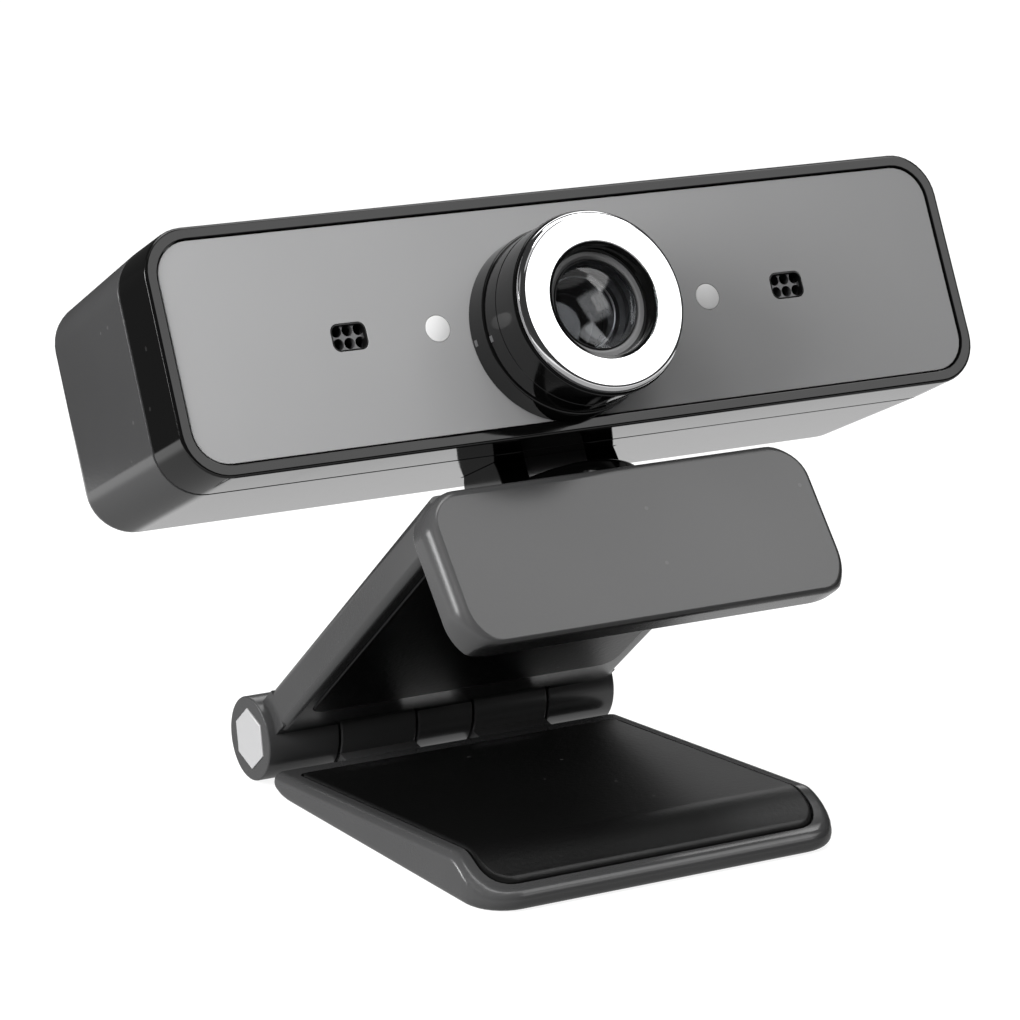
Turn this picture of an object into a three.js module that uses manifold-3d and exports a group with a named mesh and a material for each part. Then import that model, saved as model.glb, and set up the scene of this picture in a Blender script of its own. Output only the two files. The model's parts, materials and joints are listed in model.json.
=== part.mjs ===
// Bar webcam on a folding monitor clip.
//
// Frame: millimetres, +X to the object's right, the lens looks along -Y, +Z up.
// The origin lies on the flat underside of the clip's lower leaf.
// Three nested turned groups carry the moving pieces:
//   arm     turns about the clip hinge (X axis),
//   turret  turns about the arm's normal,
//   bar     tilts about the pin in the turret's yoke (X axis).
import * as THREE from 'three';
import { mergeVertices } from 'three/addons/utils/BufferGeometryUtils.js';
import Module from 'manifold-3d';

const wasm = await Module();
wasm.setup();

// ---------------------------------------------------------------- dimensions
const GAP = 0.3; // running and seating gap between separate pieces

// lower leaf of the clip
const LEAF_W = 46.6;
const LEAF_FRONT = -31.7;
const LEAF_TOP_FRONT = 5.38; // wall height at WALL_Y
const LEAF_TOP_SLOPE = 0.0587; // the leaf gets thinner towards the hinge
const WALL_Y = -25.6; // where the side walls start to dip towards the front rim
const RIM_Z = 3.2; // height of the front rim
const RIM_W = 1.9; // width of the rim round each rubber pad
const PAD_DEPTH = 1.3; // recess for the rubber
const PAD_PROUD = 0.15;

// clip hinge
const HINGE_Y = 22.5;
const HINGE_R = 4.95;
const HINGE_Z = HINGE_R + 0.45; // the knuckles stay clear of the desk
const LEAF_BACK = HINGE_Y - HINGE_R - 0.05; // and of the lower leaf's back edge
const HINGE_HALF = 23.3;
const KNUCKLE_1 = 3.8; // middle knuckle's half length
const KNUCKLE_2 = 14.0; // inner end of the outer knuckles
const PIN_R = 1.5;
const CAP_R = 3.6; // corner radius of the hexagonal end caps
const CAP_DEPTH = 2.6;

// upper leaf (arm) and its front lip
const ARM_ANGLE = 39.8; // degrees above level, clip open for a thick screen
const ARM_W = 44.6;
const ARM_TOP = 2.8; // top face above the hinge axis
const ARM_T = 4.8;
const LIP_W = 48.6;
const LIP_FRONT = 56.7; // front face of the lip, along the arm from the hinge axis
const LIP_T = 4.5;
const LIP_BOTTOM = -15.0;

// turret on the arm
const TURRET_S = 42.2; // swivel axis, along the arm from the hinge axis
const DISC_R = 10.5;
const DISC_T = 2.6;
const POST_R = 3.0;
const TILT_H = 5.9; // tilt axis above the arm's top face
const CHEEK_R = 4.3;
const CHEEK_OUT = 7.7;
const CHEEK_IN = 4.1;
const KNUCKLE_R = 3.9; // tilt knuckle under the bar

// camera bar
const TILT_ANGLE = 25.9; // degrees that the lens looks above level
const BAR_W = 100;
const BAR_H = 27;
const BAR_D = 29;
const BAR_R = 5.2; // corner radius of the front outline
const BEZEL_D = 7.5; // depth of the glossy front band
const SHELL_T = 1.8;
const DRAFT = 0.026; // the rear shell narrows by this share of its depth
const AXIS_DEPTH = 16.0; // tilt axis behind the front face
const AXIS_DROP = 15.3; // tilt axis below the bar's centre line
const PANEL_W = 97.0;
const PANEL_H = 24.0;
const PANEL_T = 1.0;
const PANEL_R = 3.9;
const WEB_FRONT = 1.5;
const WEB_T = 1.7;

// features on the front
const LENS_X = -3.4;
const LENS_Z = -1.85;
const LED_X = 17.1;
const MIC_X = 27.7;
const ROW_X = -0.5; // middle of the row of lights and microphones
const ROW_Z = -0.4;
const LED_R = 1.4;
const MIC_W = 4.6;
const MIC_H = 3.1;

// lens group, depths measured forward of the bar's front face
const COLLAR_R = 10.5;
const COLLAR_L = 3.0;
const FOCUS_R = 10.1;
const CHROME_R = 10.0;
const CHROME_IN = 6.45;
const CHROME_L = 2.1;
const LENS_L = 10.9; // face of the chrome ring
const HOLDER_R = 7.4;
const LBARREL_R = 5.9;
const GLASS_R = 4.7;

// electronics
const BOARD_Y = 13.0;
const BOARD_T = 1.2;
const BOARD_W = 90;
const BOARD_Z0 = -8.4;
const BOARD_Z1 = 9.6;
const SCREW_X = 42;
const SCREW_Z = 6.2;

// ------------------------------------------------------------------- helpers
const rad = THREE.MathUtils.degToRad;
const cat = (...lists) => [].concat(...lists);

function solid(geometry) {
  const g = geometry.clone();
  g.deleteAttribute('normal');
  g.deleteAttribute('uv');
  const m = mergeVertices(g, 1e-4);
  const p = m.getAttribute('position');
  const idx = m.getIndex();
  const tris = [];
  let volume = 0;
  const a = new THREE.Vector3();
  const b = new THREE.Vector3();
  const c = new THREE.Vector3();
  for (let i = 0; i < idx.count; i += 3) {
    const t = [idx.getX(i), idx.getX(i + 1), idx.getX(i + 2)];
    if (t[0] === t[1] || t[1] === t[2] || t[0] === t[2]) continue;
    tris.push(t);
    a.fromBufferAttribute(p, t[0]);
    b.fromBufferAttribute(p, t[1]);
    c.fromBufferAttribute(p, t[2]);
    volume += a.dot(b.cross(c));
  }
  if (volume < 0) tris.forEach((t) => t.reverse());
  const mesh = new wasm.Mesh({
    numProp: 3,
    vertProperties: new Float32Array(p.array),
    triVerts: new Uint32Array(tris.flat()),
  });
  return new wasm.Manifold(mesh);
}

function geometryOf(manifold) {
  const mesh = manifold.getMesh();
  const n = mesh.numProp;
  const verts = new Float32Array((mesh.vertProperties.length / n) * 3);
  for (let i = 0; i < verts.length / 3; i++) {
    verts[3 * i] = mesh.vertProperties[n * i];
    verts[3 * i + 1] = mesh.vertProperties[n * i + 1];
    verts[3 * i + 2] = mesh.vertProperties[n * i + 2];
  }
  const g = new THREE.BufferGeometry();
  g.setAttribute('position', new THREE.BufferAttribute(verts, 3));
  g.setIndex(new THREE.BufferAttribute(new Uint32Array(mesh.triVerts), 1));
  g.computeVertexNormals();
  return g;
}

const join = (...s) => s.reduce((x, y) => x.add(y));
const cut = (base, ...tools) => tools.reduce((x, y) => x.subtract(y), base);

function box(x0, x1, y0, y1, z0, z1) {
  const g = new THREE.BoxGeometry(x1 - x0, y1 - y0, z1 - z0);
  g.translate((x0 + x1) / 2, (y0 + y1) / 2, (z0 + z1) / 2);
  return solid(g);
}

// cylinder along an axis, from a to b, centred at the other two coordinates
function rod(axis, r, a, b, u = 0, v = 0, seg = 28) {
  const g = new THREE.CylinderGeometry(r, r, b - a, seg);
  const mid = (a + b) / 2;
  if (axis === 'x') g.rotateZ(Math.PI / 2).translate(mid, u, v);
  if (axis === 'y') g.translate(u, mid, v);
  if (axis === 'z') g.rotateX(Math.PI / 2).translate(u, v, mid);
  return solid(g);
}

function roundRect(w, h, r, cx = 0, cy = 0, rTop = r) {
  const s = new THREE.Shape();
  const x0 = cx - w / 2;
  const x1 = cx + w / 2;
  const y0 = cy - h / 2;
  const y1 = cy + h / 2;
  s.moveTo(x0 + r, y0);
  s.lineTo(x1 - r, y0);
  s.absarc(x1 - r, y0 + r, r, -Math.PI / 2, 0, false);
  s.lineTo(x1, y1 - rTop);
  s.absarc(x1 - rTop, y1 - rTop, rTop, 0, Math.PI / 2, false);
  s.lineTo(x0 + rTop, y1);
  s.absarc(x0 + rTop, y1 - rTop, rTop, Math.PI / 2, Math.PI, false);
  s.lineTo(x0, y0 + r);
  s.absarc(x0 + r, y0 + r, r, Math.PI, 1.5 * Math.PI, false);
  return s;
}

// outline in X and Z, extruded along Y from y0 to y1
function slabY(shape, y0, y1, bevel = 0, seg = 2, curve = 6) {
  const g = new THREE.ExtrudeGeometry(shape, {
    depth: y1 - y0 - 2 * bevel,
    curveSegments: curve,
    bevelEnabled: bevel > 0,
    bevelThickness: bevel,
    bevelSize: bevel,
    bevelOffset: -bevel,
    bevelSegments: seg,
  });
  g.rotateX(Math.PI / 2);
  g.translate(0, y1 - bevel, 0);
  return g;
}

const plateY = (shape, y0, y1, bevel, seg, curve) => solid(slabY(shape, y0, y1, bevel, seg, curve));

// outline in X and Y, extruded along Z from z0 to z1
function plateZ(shape, z0, z1) {
  const g = new THREE.ExtrudeGeometry(shape, {
    depth: z1 - z0,
    curveSegments: 6,
    bevelEnabled: false,
  });
  g.translate(0, 0, z0);
  return solid(g);
}

// outline given as [y, z] points, extruded along X from x0 to x1
function profileX(points, x0, x1) {
  const s = new THREE.Shape(points.map(([y, z]) => new THREE.Vector2(y, z)));
  const g = new THREE.ExtrudeGeometry(s, { depth: x1 - x0, bevelEnabled: false });
  g.rotateX(Math.PI / 2); // y, z outline now lies in x, z
  g.rotateZ(Math.PI / 2);
  // extrusion now runs along +X
  const p = g.getAttribute('position');
  let low = Infinity;
  for (let i = 0; i < p.count; i++) low = Math.min(low, p.getX(i));
  g.translate(x0 - low, 0, 0);
  return solid(g);
}

// turned piece about an axis parallel to Y through (cx, cz); points are [radius, y]
function turned(points, cx, cz, seg = 32) {
  const closed = points[0][0] < 1e-6 ? points : cat(points, [points[0]]);
  const g = new THREE.LatheGeometry(closed.map(([r, y]) => new THREE.Vector2(r, y)), seg);
  g.translate(cx, 0, cz);
  return solid(g);
}

function hexX(r, x0, x1, turn = 0) {
  const g = new THREE.CylinderGeometry(r, r, x1 - x0, 6);
  g.rotateZ(Math.PI / 2);
  g.rotateX(turn);
  g.translate((x0 + x1) / 2, 0, 0);
  return solid(g);
}

const MATERIALS = {
  satin_plastic: [0x2a2b2d, 0.5, 0],
  bar_plastic: [0x3a3b3d, 0.42, 0],
  gloss_black: [0x0a0a0b, 0.12, 0],
  panel_grey: [0x66676a, 0.22, 0.1],
  rubber: [0x0c0c0d, 0.75, 0],
  hex_silver: [0xb9bbbe, 0.3, 0.6],
  steel: [0x9a9ca0, 0.35, 1],
  chrome: [0xe9eaec, 0.08, 1],
  cup_grey: [0x3c3d40, 0.35, 0],
  glass: [0x1a1e26, 0.02, 0],
  light_window: [0xbfc1c4, 0.35, 0],
  mesh_grey: [0x5f6164, 0.45, 0.3],
  board_green: [0x0f4a33, 0.55, 0],
  chip_black: [0x141416, 0.5, 0],
  nylon_white: [0xd8d6cf, 0.55, 0],
  sensor_glass: [0x24303a, 0.1, 0],
};

function piece(name, manifold, material) {
  const [color, roughness, metalness] = MATERIALS[material];
  const mat = new THREE.MeshStandardMaterial({ color, roughness, metalness });
  const mesh = new THREE.Mesh(geometryOf(manifold), mat);
  mesh.name = name;
  return mesh;
}

// ------------------------------------------------------------ clip, lower leaf
const leafTop = (y) => LEAF_TOP_FRONT - (y - WALL_Y) * LEAF_TOP_SLOPE;
const F = LEAF_FRONT;
const B = LEAF_BACK;
const leafProfile = [
  [F + 1.3, 0],
  [F + 0.5, 0.25],
  [F + 0.1, 0.9],
  [F, 1.6],
  [F, 2.2],
  [F + 0.25, 2.8],
  [F + 0.8, RIM_Z - 0.08],
  [F + 1.4, RIM_Z],
  [F + 2.4, RIM_Z + 0.12],
  [F + 3.2, RIM_Z + 0.6],
  [F + 4.0, RIM_Z + 1.25],
  [F + 4.8, RIM_Z + 1.85],
  [WALL_Y - 0.5, leafTop(WALL_Y) - 0.07],
  [WALL_Y + 0.4, leafTop(WALL_Y + 0.4)],
  [B, leafTop(B)],
  [B, 2.2],
  [B - 0.7, 1.1],
  [B - 2.0, 0.3],
  [B - 3.7, 0],
];

function leafPlan(width, front, back, rFront, rBack, z1) {
  const h = back - front;
  const s = roundRect(width, h, rFront, 0, (front + back) / 2, rBack);
  return plateZ(s, -1, z1);
}

// rubber recess: floor and walls, then the pad that fills it
const recessBack = 14.4;
function padSolid(inset, lift, top) {
  const f = F + RIM_W + inset;
  const b = recessBack - inset;
  const floor = (y) => leafTop(y) - PAD_DEPTH + lift;
  const bottom = [
    [f, RIM_Z - PAD_DEPTH + lift],
    [f + 1.0, RIM_Z - PAD_DEPTH + 0.12 + lift],
    [WALL_Y - 0.4, floor(WALL_Y)],
    [b, floor(b)],
  ];
  const upper = top
    ? [
      [b, leafTop(b) + PAD_PROUD],
      [WALL_Y + 0.3, leafTop(WALL_Y) + PAD_PROUD],
      [WALL_Y - 0.7, leafTop(WALL_Y) + PAD_PROUD - 0.1],
      [WALL_Y - 1.6, RIM_Z + 1.75],
      [WALL_Y - 2.4, RIM_Z + 1.15],
      [f + 0.9, RIM_Z + 0.62],
      [f + 0.35, RIM_Z + 0.3],
      [f, RIM_Z - 0.15],
    ]
    : [
      [b, 12],
      [f, 12],
    ];
  const body = profileX(cat(bottom, upper), -30, 30);
  const plan = leafPlan(LEAF_W - 2 * (RIM_W + inset), f, b, 3.4 - inset, 1.2 - inset, 20);
  return body.intersect(plan);
}

function knuckle(x0, x1) {
  return rod('x', HINGE_R, x0, x1, HINGE_Y, HINGE_Z, 32);
}

const leafKnuckles = [];
for (const side of [-1, 1]) {
  const x0 = side > 0 ? KNUCKLE_1 + GAP / 2 : -KNUCKLE_2 + GAP / 2;
  const x1 = side > 0 ? KNUCKLE_2 - GAP / 2 : -KNUCKLE_1 - GAP / 2;
  const web = profileX(
    [
      [B - 2.5, 0.7],
      [HINGE_Y - 3.2, 1.3],
      [HINGE_Y - 1, HINGE_Z - 4],
      [HINGE_Y - 2, HINGE_Z - 1],
      [HINGE_Y - 4.6, 3.2],
      [B - 1.5, leafTop(B) - 0.1],
      [B - 2.5, leafTop(B)],
    ],
    x0,
    x1,
  );
  leafKnuckles.push(join(knuckle(x0, x1), web));
}

const lowerLeaf = cut(
  join(
    profileX(leafProfile, -LEAF_W / 2, LEAF_W / 2).intersect(
      leafPlan(LEAF_W, F, B, 5, 1.2, 20),
    ),
    ...leafKnuckles,
  ),
  padSolid(0, 0, false),
  rod('x', PIN_R + GAP, -30, 30, HINGE_Y, HINGE_Z, 24),
);

const clip = new THREE.Group();
clip.add(piece('lower_leaf', lowerLeaf, 'satin_plastic'));
clip.add(piece('base_pad', padSolid(GAP, GAP, true), 'rubber'));
const pinSolid = rod('x', PIN_R, -(HINGE_HALF - CAP_DEPTH - 0.3), HINGE_HALF - CAP_DEPTH - 0.3,
  HINGE_Y, HINGE_Z, 24);
clip.add(piece('hinge_pin', pinSolid, 'steel'));

// ------------------------------------------------------- clip, upper leaf (arm)
// local frame: origin on the hinge axis, -Y along the arm to the lip, +Z its top face
const arm = new THREE.Group();
arm.position.set(0, HINGE_Y, HINGE_Z);
arm.rotation.x = -rad(ARM_ANGLE);

const ARM_BOTTOM = ARM_TOP - ARM_T;
const LIP_BACK = LIP_FRONT - LIP_T;
const armBack = HINGE_R + 0.6;

const armPlate = plateY(
  roundRect(ARM_W, ARM_T, 0.8, 0, (ARM_TOP + ARM_BOTTOM) / 2),
  -(LIP_FRONT - 1.6),
  -armBack,
  0,
  1,
  3,
);
const armKnuckles = [
  [-HINGE_HALF, -KNUCKLE_2 - GAP / 2],
  [-KNUCKLE_1 + GAP / 2, KNUCKLE_1 - GAP / 2],
  [KNUCKLE_2 + GAP / 2, HINGE_HALF],
].map(([x0, x1]) => {
  const w0 = Math.max(x0, -ARM_W / 2);
  const w1 = Math.min(x1, ARM_W / 2);
  const web = box(w0, w1, -armBack - 1.5, -1.5, ARM_BOTTOM + 0.2, ARM_TOP - 0.02);
  return join(rod('x', HINGE_R, x0, x1, 0, 0, 24), web);
});

const LIP_TOP = ARM_TOP - 0.1;
const lipShape = roundRect(
  LIP_W,
  LIP_TOP - LIP_BOTTOM,
  3.2,
  0,
  (LIP_TOP + LIP_BOTTOM) / 2,
  4.2,
);
const lip = plateY(lipShape, -LIP_FRONT, -LIP_BACK, 1.1, 2, 5);

// recesses for the two rubber pads of this leaf
const ARM_PAD_W = ARM_W - 2 * RIM_W;
const armPadFront = LIP_BACK - 1.2;
const armPadBack = armBack + 4.5;
function armPad(inset, z0, z1) {
  const s = roundRect(
    ARM_PAD_W - 2 * inset,
    armPadFront - armPadBack - 2 * inset,
    2.0,
    0,
    -(armPadFront + armPadBack) / 2,
  );
  return plateZ(s, z0, z1);
}
const LIP_PAD_Z0 = LIP_BOTTOM + 2.0;
const LIP_PAD_Z1 = ARM_BOTTOM - 1.6;
function lipPad(inset, y0, y1) {
  const s = roundRect(
    LIP_W - 7 - 2 * inset,
    LIP_PAD_Z1 - LIP_PAD_Z0 - 2 * inset,
    1.8,
    0,
    (LIP_PAD_Z0 + LIP_PAD_Z1) / 2,
  );
  return plateY(s, y0, y1, 0, 1, 4);
}

// swivel bore and the counterbore for its washer and nut
const NUT_CEILING = ARM_TOP - 1.5;
const PAD_CEILING = ARM_BOTTOM + PAD_DEPTH;
const upperLeaf = cut(
  join(armPlate, lip, ...armKnuckles),
  rod('x', PIN_R + GAP, -30, 30, 0, 0, 24),
  hexX(CAP_R + GAP, HINGE_HALF - CAP_DEPTH, HINGE_HALF + 1),
  hexX(CAP_R + GAP, -HINGE_HALF - 1, -HINGE_HALF + CAP_DEPTH),
  armPad(0, ARM_BOTTOM - 1, PAD_CEILING),
  lipPad(0, -LIP_BACK - 0.9, -LIP_BACK + 1),
  rod('z', POST_R + GAP, ARM_BOTTOM - 1, ARM_TOP + 1, 0, -TURRET_S, 24),
  rod('z', 6.4, PAD_CEILING - 0.5, NUT_CEILING, 0, -TURRET_S, 24),
);
arm.add(piece('upper_leaf', upperLeaf, 'satin_plastic'));
arm.add(piece('arm_pad', armPad(GAP, ARM_BOTTOM - PAD_PROUD, PAD_CEILING - GAP), 'rubber'));
arm.add(piece('lip_pad', lipPad(GAP, -LIP_BACK - 0.6, -LIP_BACK + 0.8), 'rubber'));
arm.add(piece(
  'hex_cap_right',
  hexX(CAP_R, HINGE_HALF - CAP_DEPTH + GAP, HINGE_HALF + 0.15),
  'hex_silver',
));
arm.add(piece(
  'hex_cap_left',
  hexX(CAP_R, -HINGE_HALF - 0.15, -HINGE_HALF + CAP_DEPTH - GAP),
  'hex_silver',
));

// ---------------------------------------------------------------------- turret
// local frame: origin where the swivel axis meets the arm's top face, +Z the axis
const turret = new THREE.Group();
turret.position.set(0, -TURRET_S, ARM_TOP);
arm.add(turret);

const POST_END = PAD_CEILING - ARM_TOP + 0.05;
const disc = solid(
  new THREE.LatheGeometry(
    [
      [0, POST_END],
      [POST_R, POST_END],
      [POST_R, GAP],
      [DISC_R, GAP],
      [DISC_R, GAP + DISC_T - 0.6],
      [DISC_R - 0.18, GAP + DISC_T - 0.18],
      [DISC_R - 0.6, GAP + DISC_T],
      [0, GAP + DISC_T],
    ].map(([r, z]) => new THREE.Vector2(r, z)),
    36,
  ).rotateX(Math.PI / 2),
);

function cheekOutline(r) {
  const pts = [];
  for (let i = 0; i <= 14; i++) {
    const a = (Math.PI * i) / 14;
    pts.push([r * Math.cos(a), TILT_H + r * Math.sin(a)]);
  }
  return cat([[r, 1]], pts, [[-r, 1]]);
}
const saddle = rod('x', KNUCKLE_R + 2 * GAP, -CHEEK_IN, CHEEK_IN, 0, TILT_H, 28);
const yoke = cut(
  join(
    cut(disc, saddle),
    profileX(cheekOutline(CHEEK_R), CHEEK_IN, CHEEK_OUT),
    profileX(cheekOutline(CHEEK_R), -CHEEK_OUT, -CHEEK_IN),
  ),
  rod('x', PIN_R + GAP, -10, 10, 0, TILT_H, 20),
);
turret.add(piece('swivel_yoke', yoke, 'gloss_black'));
turret.add(piece('tilt_pin', rod('x', PIN_R, -7.4, 7.4, 0, TILT_H, 20), 'steel'));

const washerTop = NUT_CEILING - ARM_TOP - GAP;
const ringZ = (r1, r0, z0, z1) => cut(
  rod('z', r1, z0, z1, 0, 0, 24),
  rod('z', r0, z0 - 1, z1 + 1, 0, 0, 24),
);
turret.add(piece(
  'swivel_washer',
  ringZ(6.0, POST_R + GAP, washerTop - 0.4, washerTop),
  'steel',
));
const nutOuter = new THREE.CylinderGeometry(5.7, 5.7, 1.0, 6);
nutOuter.rotateX(Math.PI / 2).translate(0, 0, washerTop - 0.4 - GAP - 0.5);
turret.add(piece(
  'swivel_nut',
  cut(solid(nutOuter), rod('z', POST_R + GAP, -9, 3, 0, 0, 24)),
  'steel',
));

// ------------------------------------------------------------------ camera bar
// tilt group's origin is on the tilt axis; the bar's own frame has its origin at
// the middle of the front face, +Y into the bar
const tilt = new THREE.Group();
tilt.position.set(0, 0, TILT_H);
tilt.rotation.x = rad(ARM_ANGLE - TILT_ANGLE);
turret.add(tilt);
const bar = new THREE.Group();
bar.position.set(0, -AXIS_DEPTH, AXIS_DROP);
tilt.add(bar);

// rear shell: drafted box with rounded rear edges, open at the front
const shellOuterGeo = slabY(roundRect(BAR_W, BAR_H, BAR_R), BEZEL_D - 5, BAR_D, 2.4, 3, 5);
{
  const p = shellOuterGeo.getAttribute('position');
  for (let i = 0; i < p.count; i++) {
    const y = p.getY(i);
    const inset = Math.max(0, y - BEZEL_D) * DRAFT;
    p.setX(i, p.getX(i) * (1 - (2 * inset) / BAR_W));
    p.setZ(i, p.getZ(i) * (1 - (2 * inset) / BAR_H));
  }
}
const cavW = BAR_W - 2 * SHELL_T - 1.6;
const cavH = BAR_H - 2 * SHELL_T - 1.2;
const cavBack = BAR_D - SHELL_T;
const shellCavity = plateY(roundRect(cavW, cavH, 3.2), BEZEL_D - 6, cavBack, 0, 1, 4);
const POCKET_R = CHEEK_R + 0.6;
const blockTop = -AXIS_DROP + POCKET_R + 1.4;
const block = box(
  -CHEEK_OUT - 2,
  CHEEK_OUT + 2,
  AXIS_DEPTH - 6.4,
  AXIS_DEPTH + 6.4,
  -BAR_H / 2 + 0.9,
  blockTop,
);
const kn = CHEEK_IN - 0.5;
const tiltKnuckle = join(
  rod('x', KNUCKLE_R, -kn, kn, AXIS_DEPTH, -AXIS_DROP, 28),
  box(-kn, kn, AXIS_DEPTH - KNUCKLE_R, AXIS_DEPTH + KNUCKLE_R, -AXIS_DROP, blockTop - 0.4),
);
const pocket = (side) => rod(
  'x',
  POCKET_R,
  side > 0 ? kn : -CHEEK_OUT - 0.5,
  side > 0 ? CHEEK_OUT + 0.5 : -kn,
  AXIS_DEPTH,
  -AXIS_DROP,
  28,
);
const BOSS_FRONT = BOARD_Y + BOARD_T + GAP;
const screwSpots = [
  [-SCREW_X, SCREW_Z],
  [SCREW_X, SCREW_Z],
  [-SCREW_X, -SCREW_Z],
  [SCREW_X, -SCREW_Z],
];
const GLAND_Z = -3.0;
let shell = cut(
  solid(shellOuterGeo),
  box(-60, 60, -10, BEZEL_D, -30, 30),
  shellCavity,
);
shell = join(
  shell,
  block,
  ...screwSpots.map(([x, z]) => rod('y', 2.6, BOSS_FRONT, cavBack + 0.5, x, z, 24)),
);
shell = cut(join(cut(shell, pocket(1), pocket(-1)), tiltKnuckle),
  rod('x', PIN_R + GAP, -10, 10, AXIS_DEPTH, -AXIS_DROP, 20),
  rod('y', 2.7, cavBack - 1, BAR_D + 1, 0, GLAND_Z, 24),
  ...screwSpots.map(([x, z]) => rod('y', 0.95 + GAP, BOSS_FRONT - 1, 21, x, z, 16)),
);
bar.add(piece('rear_shell', shell, 'bar_plastic'));

// glossy front band with its web behind the panel
const bezelOuterGeo = slabY(roundRect(BAR_W, BAR_H, BAR_R), 0, BEZEL_D + 3, 0.9, 2, 5);
const bezelBack = BEZEL_D - GAP;
const sideHoles = (r, y0, y1) => [-LED_X, LED_X].map((x) => rod(
  'y',
  r,
  y0,
  y1,
  ROW_X + x,
  ROW_Z,
  20,
));
const micHoles = (grow, y0, y1) => [-MIC_X, MIC_X].map((x) => plateY(
  roundRect(MIC_W + grow, MIC_H + grow, 0.7, ROW_X + x, ROW_Z),
  y0,
  y1,
  0,
  1,
  3,
));
const bezel = cut(
  solid(bezelOuterGeo),
  box(-60, 60, bezelBack, 20, -30, 30),
  plateY(roundRect(BAR_W - 2 * SHELL_T, BAR_H - 2 * SHELL_T, 3.6), WEB_FRONT + WEB_T, 20, 0, 1, 4),
  plateY(roundRect(PANEL_W + 2 * GAP, PANEL_H + 2 * GAP, PANEL_R + GAP), -1, WEB_FRONT, 0, 1, 6),
  rod('y', 9.6, -1, 20, LENS_X, LENS_Z, 32),
  ...sideHoles(LED_R + GAP, -1, 20),
  ...micHoles(1.5, -1, 20),
);
const tabs = [];
for (const x of [-33, 33]) {
  for (const side of [-1, 1]) {
    const z = side * (cavH / 2 - GAP - 0.5);
    const tab = box(x - 5, x + 5, WEB_FRONT + 1, BEZEL_D + 3, z - 0.5, z + 0.5);
    const root = box(
      x - 5,
      x + 5,
      WEB_FRONT + 1,
      bezelBack - 0.5,
      Math.min(z - 0.4 * side, side * (BAR_H / 2 - 1)),
      Math.max(z - 0.4 * side, side * (BAR_H / 2 - 1)),
    );
    tabs.push(join(tab, root));
  }
}
bar.add(piece('front_bezel', join(bezel, ...tabs), 'gloss_black'));

const panel = cut(
  plateY(roundRect(PANEL_W, PANEL_H, PANEL_R), WEB_FRONT - GAP - PANEL_T, WEB_FRONT - GAP, 0, 1, 6),
  rod('y', 9.3, -1, 5, LENS_X, LENS_Z, 32),
  ...sideHoles(LED_R + GAP, -1, 5),
  ...micHoles(0, -1, 5),
);
bar.add(piece('front_panel', panel, 'panel_grey'));

for (const [tag, side] of [['left', -1], ['right', 1]]) {
  const xm = ROW_X + side * MIC_X;
  const xl = ROW_X + side * LED_X;
  const holes = [];
  for (const i of [-1, 0, 1]) {
    for (const j of [-0.5, 0.5]) {
      holes.push(rod('y', 0.5, 0, 5, xm + i * 1.32, ROW_Z + j * 1.36, 12));
    }
  }
  const mesh = cut(
    plateY(roundRect(MIC_W + 0.9, MIC_H + 0.9, 0.7, xm, ROW_Z), WEB_FRONT, WEB_FRONT + 0.7, 0, 1, 3),
    ...holes,
  );
  bar.add(piece(`mic_mesh_${tag}`, mesh, 'mesh_grey'));
  bar.add(piece(
    `microphone_${tag}`,
    box(xm - 1.9, xm + 1.9, BOARD_Y - GAP - 1.1, BOARD_Y - GAP, ROW_Z - 1.5, ROW_Z + 1.5),
    'steel',
  ));
  bar.add(piece(
    `light_pipe_${tag}`,
    rod('y', LED_R, 0.25, BOARD_Y - GAP - 1.2, xl, ROW_Z, 24),
    'light_window',
  ));
  bar.add(piece(
    `led_${tag}`,
    box(xl - 1, xl + 1, BOARD_Y - GAP - 0.7, BOARD_Y - GAP, ROW_Z - 0.8, ROW_Z + 0.8),
    'nylon_white',
  ));
}

// circuit board, sensor and the pieces on the board
const boardShape = roundRect(BOARD_W, BOARD_Z1 - BOARD_Z0, 1, 0, (BOARD_Z0 + BOARD_Z1) / 2);
const board = cut(
  plateY(boardShape, BOARD_Y, BOARD_Y + BOARD_T, 0, 1, 2),
  ...screwSpots.map(([x, z]) => rod('y', 0.95 + GAP, BOARD_Y - 2, BOARD_Y + 4, x, z, 16)),
);
bar.add(piece('main_board', board, 'board_green'));
screwSpots.forEach(([x, z], i) => {
  const head = rod('y', 1.9, BOARD_Y - GAP - 1.3, BOARD_Y - GAP, x, z, 20);
  const shank = rod('y', 0.95, BOARD_Y - GAP - 0.5, 20, x, z, 16);
  const slot = cut(
    join(head, shank),
    box(x - 1.3, x + 1.3, BOARD_Y - GAP - 2, BOARD_Y - GAP - 0.8, z - 0.25, z + 0.25),
    box(x - 0.25, x + 0.25, BOARD_Y - GAP - 2, BOARD_Y - GAP - 0.8, z - 1.3, z + 1.3),
  );
  bar.add(piece(`board_screw_${i + 1}`, slot, 'steel'));
});
const SENSOR_FRONT = BOARD_Y - GAP - 1.2;
bar.add(piece(
  'image_sensor',
  box(LENS_X - 4, LENS_X + 4, SENSOR_FRONT, BOARD_Y - GAP, LENS_Z - 4, LENS_Z + 4),
  'sensor_glass',
));
const backY = BOARD_Y + BOARD_T + GAP;
bar.add(piece('processor_chip', box(10, 19, backY, backY + 1, -4.5, 4.5), 'chip_black'));
bar.add(piece(
  'cable_connector',
  cut(
    box(-24, -13, backY, backY + 5.5, -3, 2),
    box(-23, -14, backY + 1.5, backY + 7, -2, 1),
  ),
  'nylon_white',
));
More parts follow.
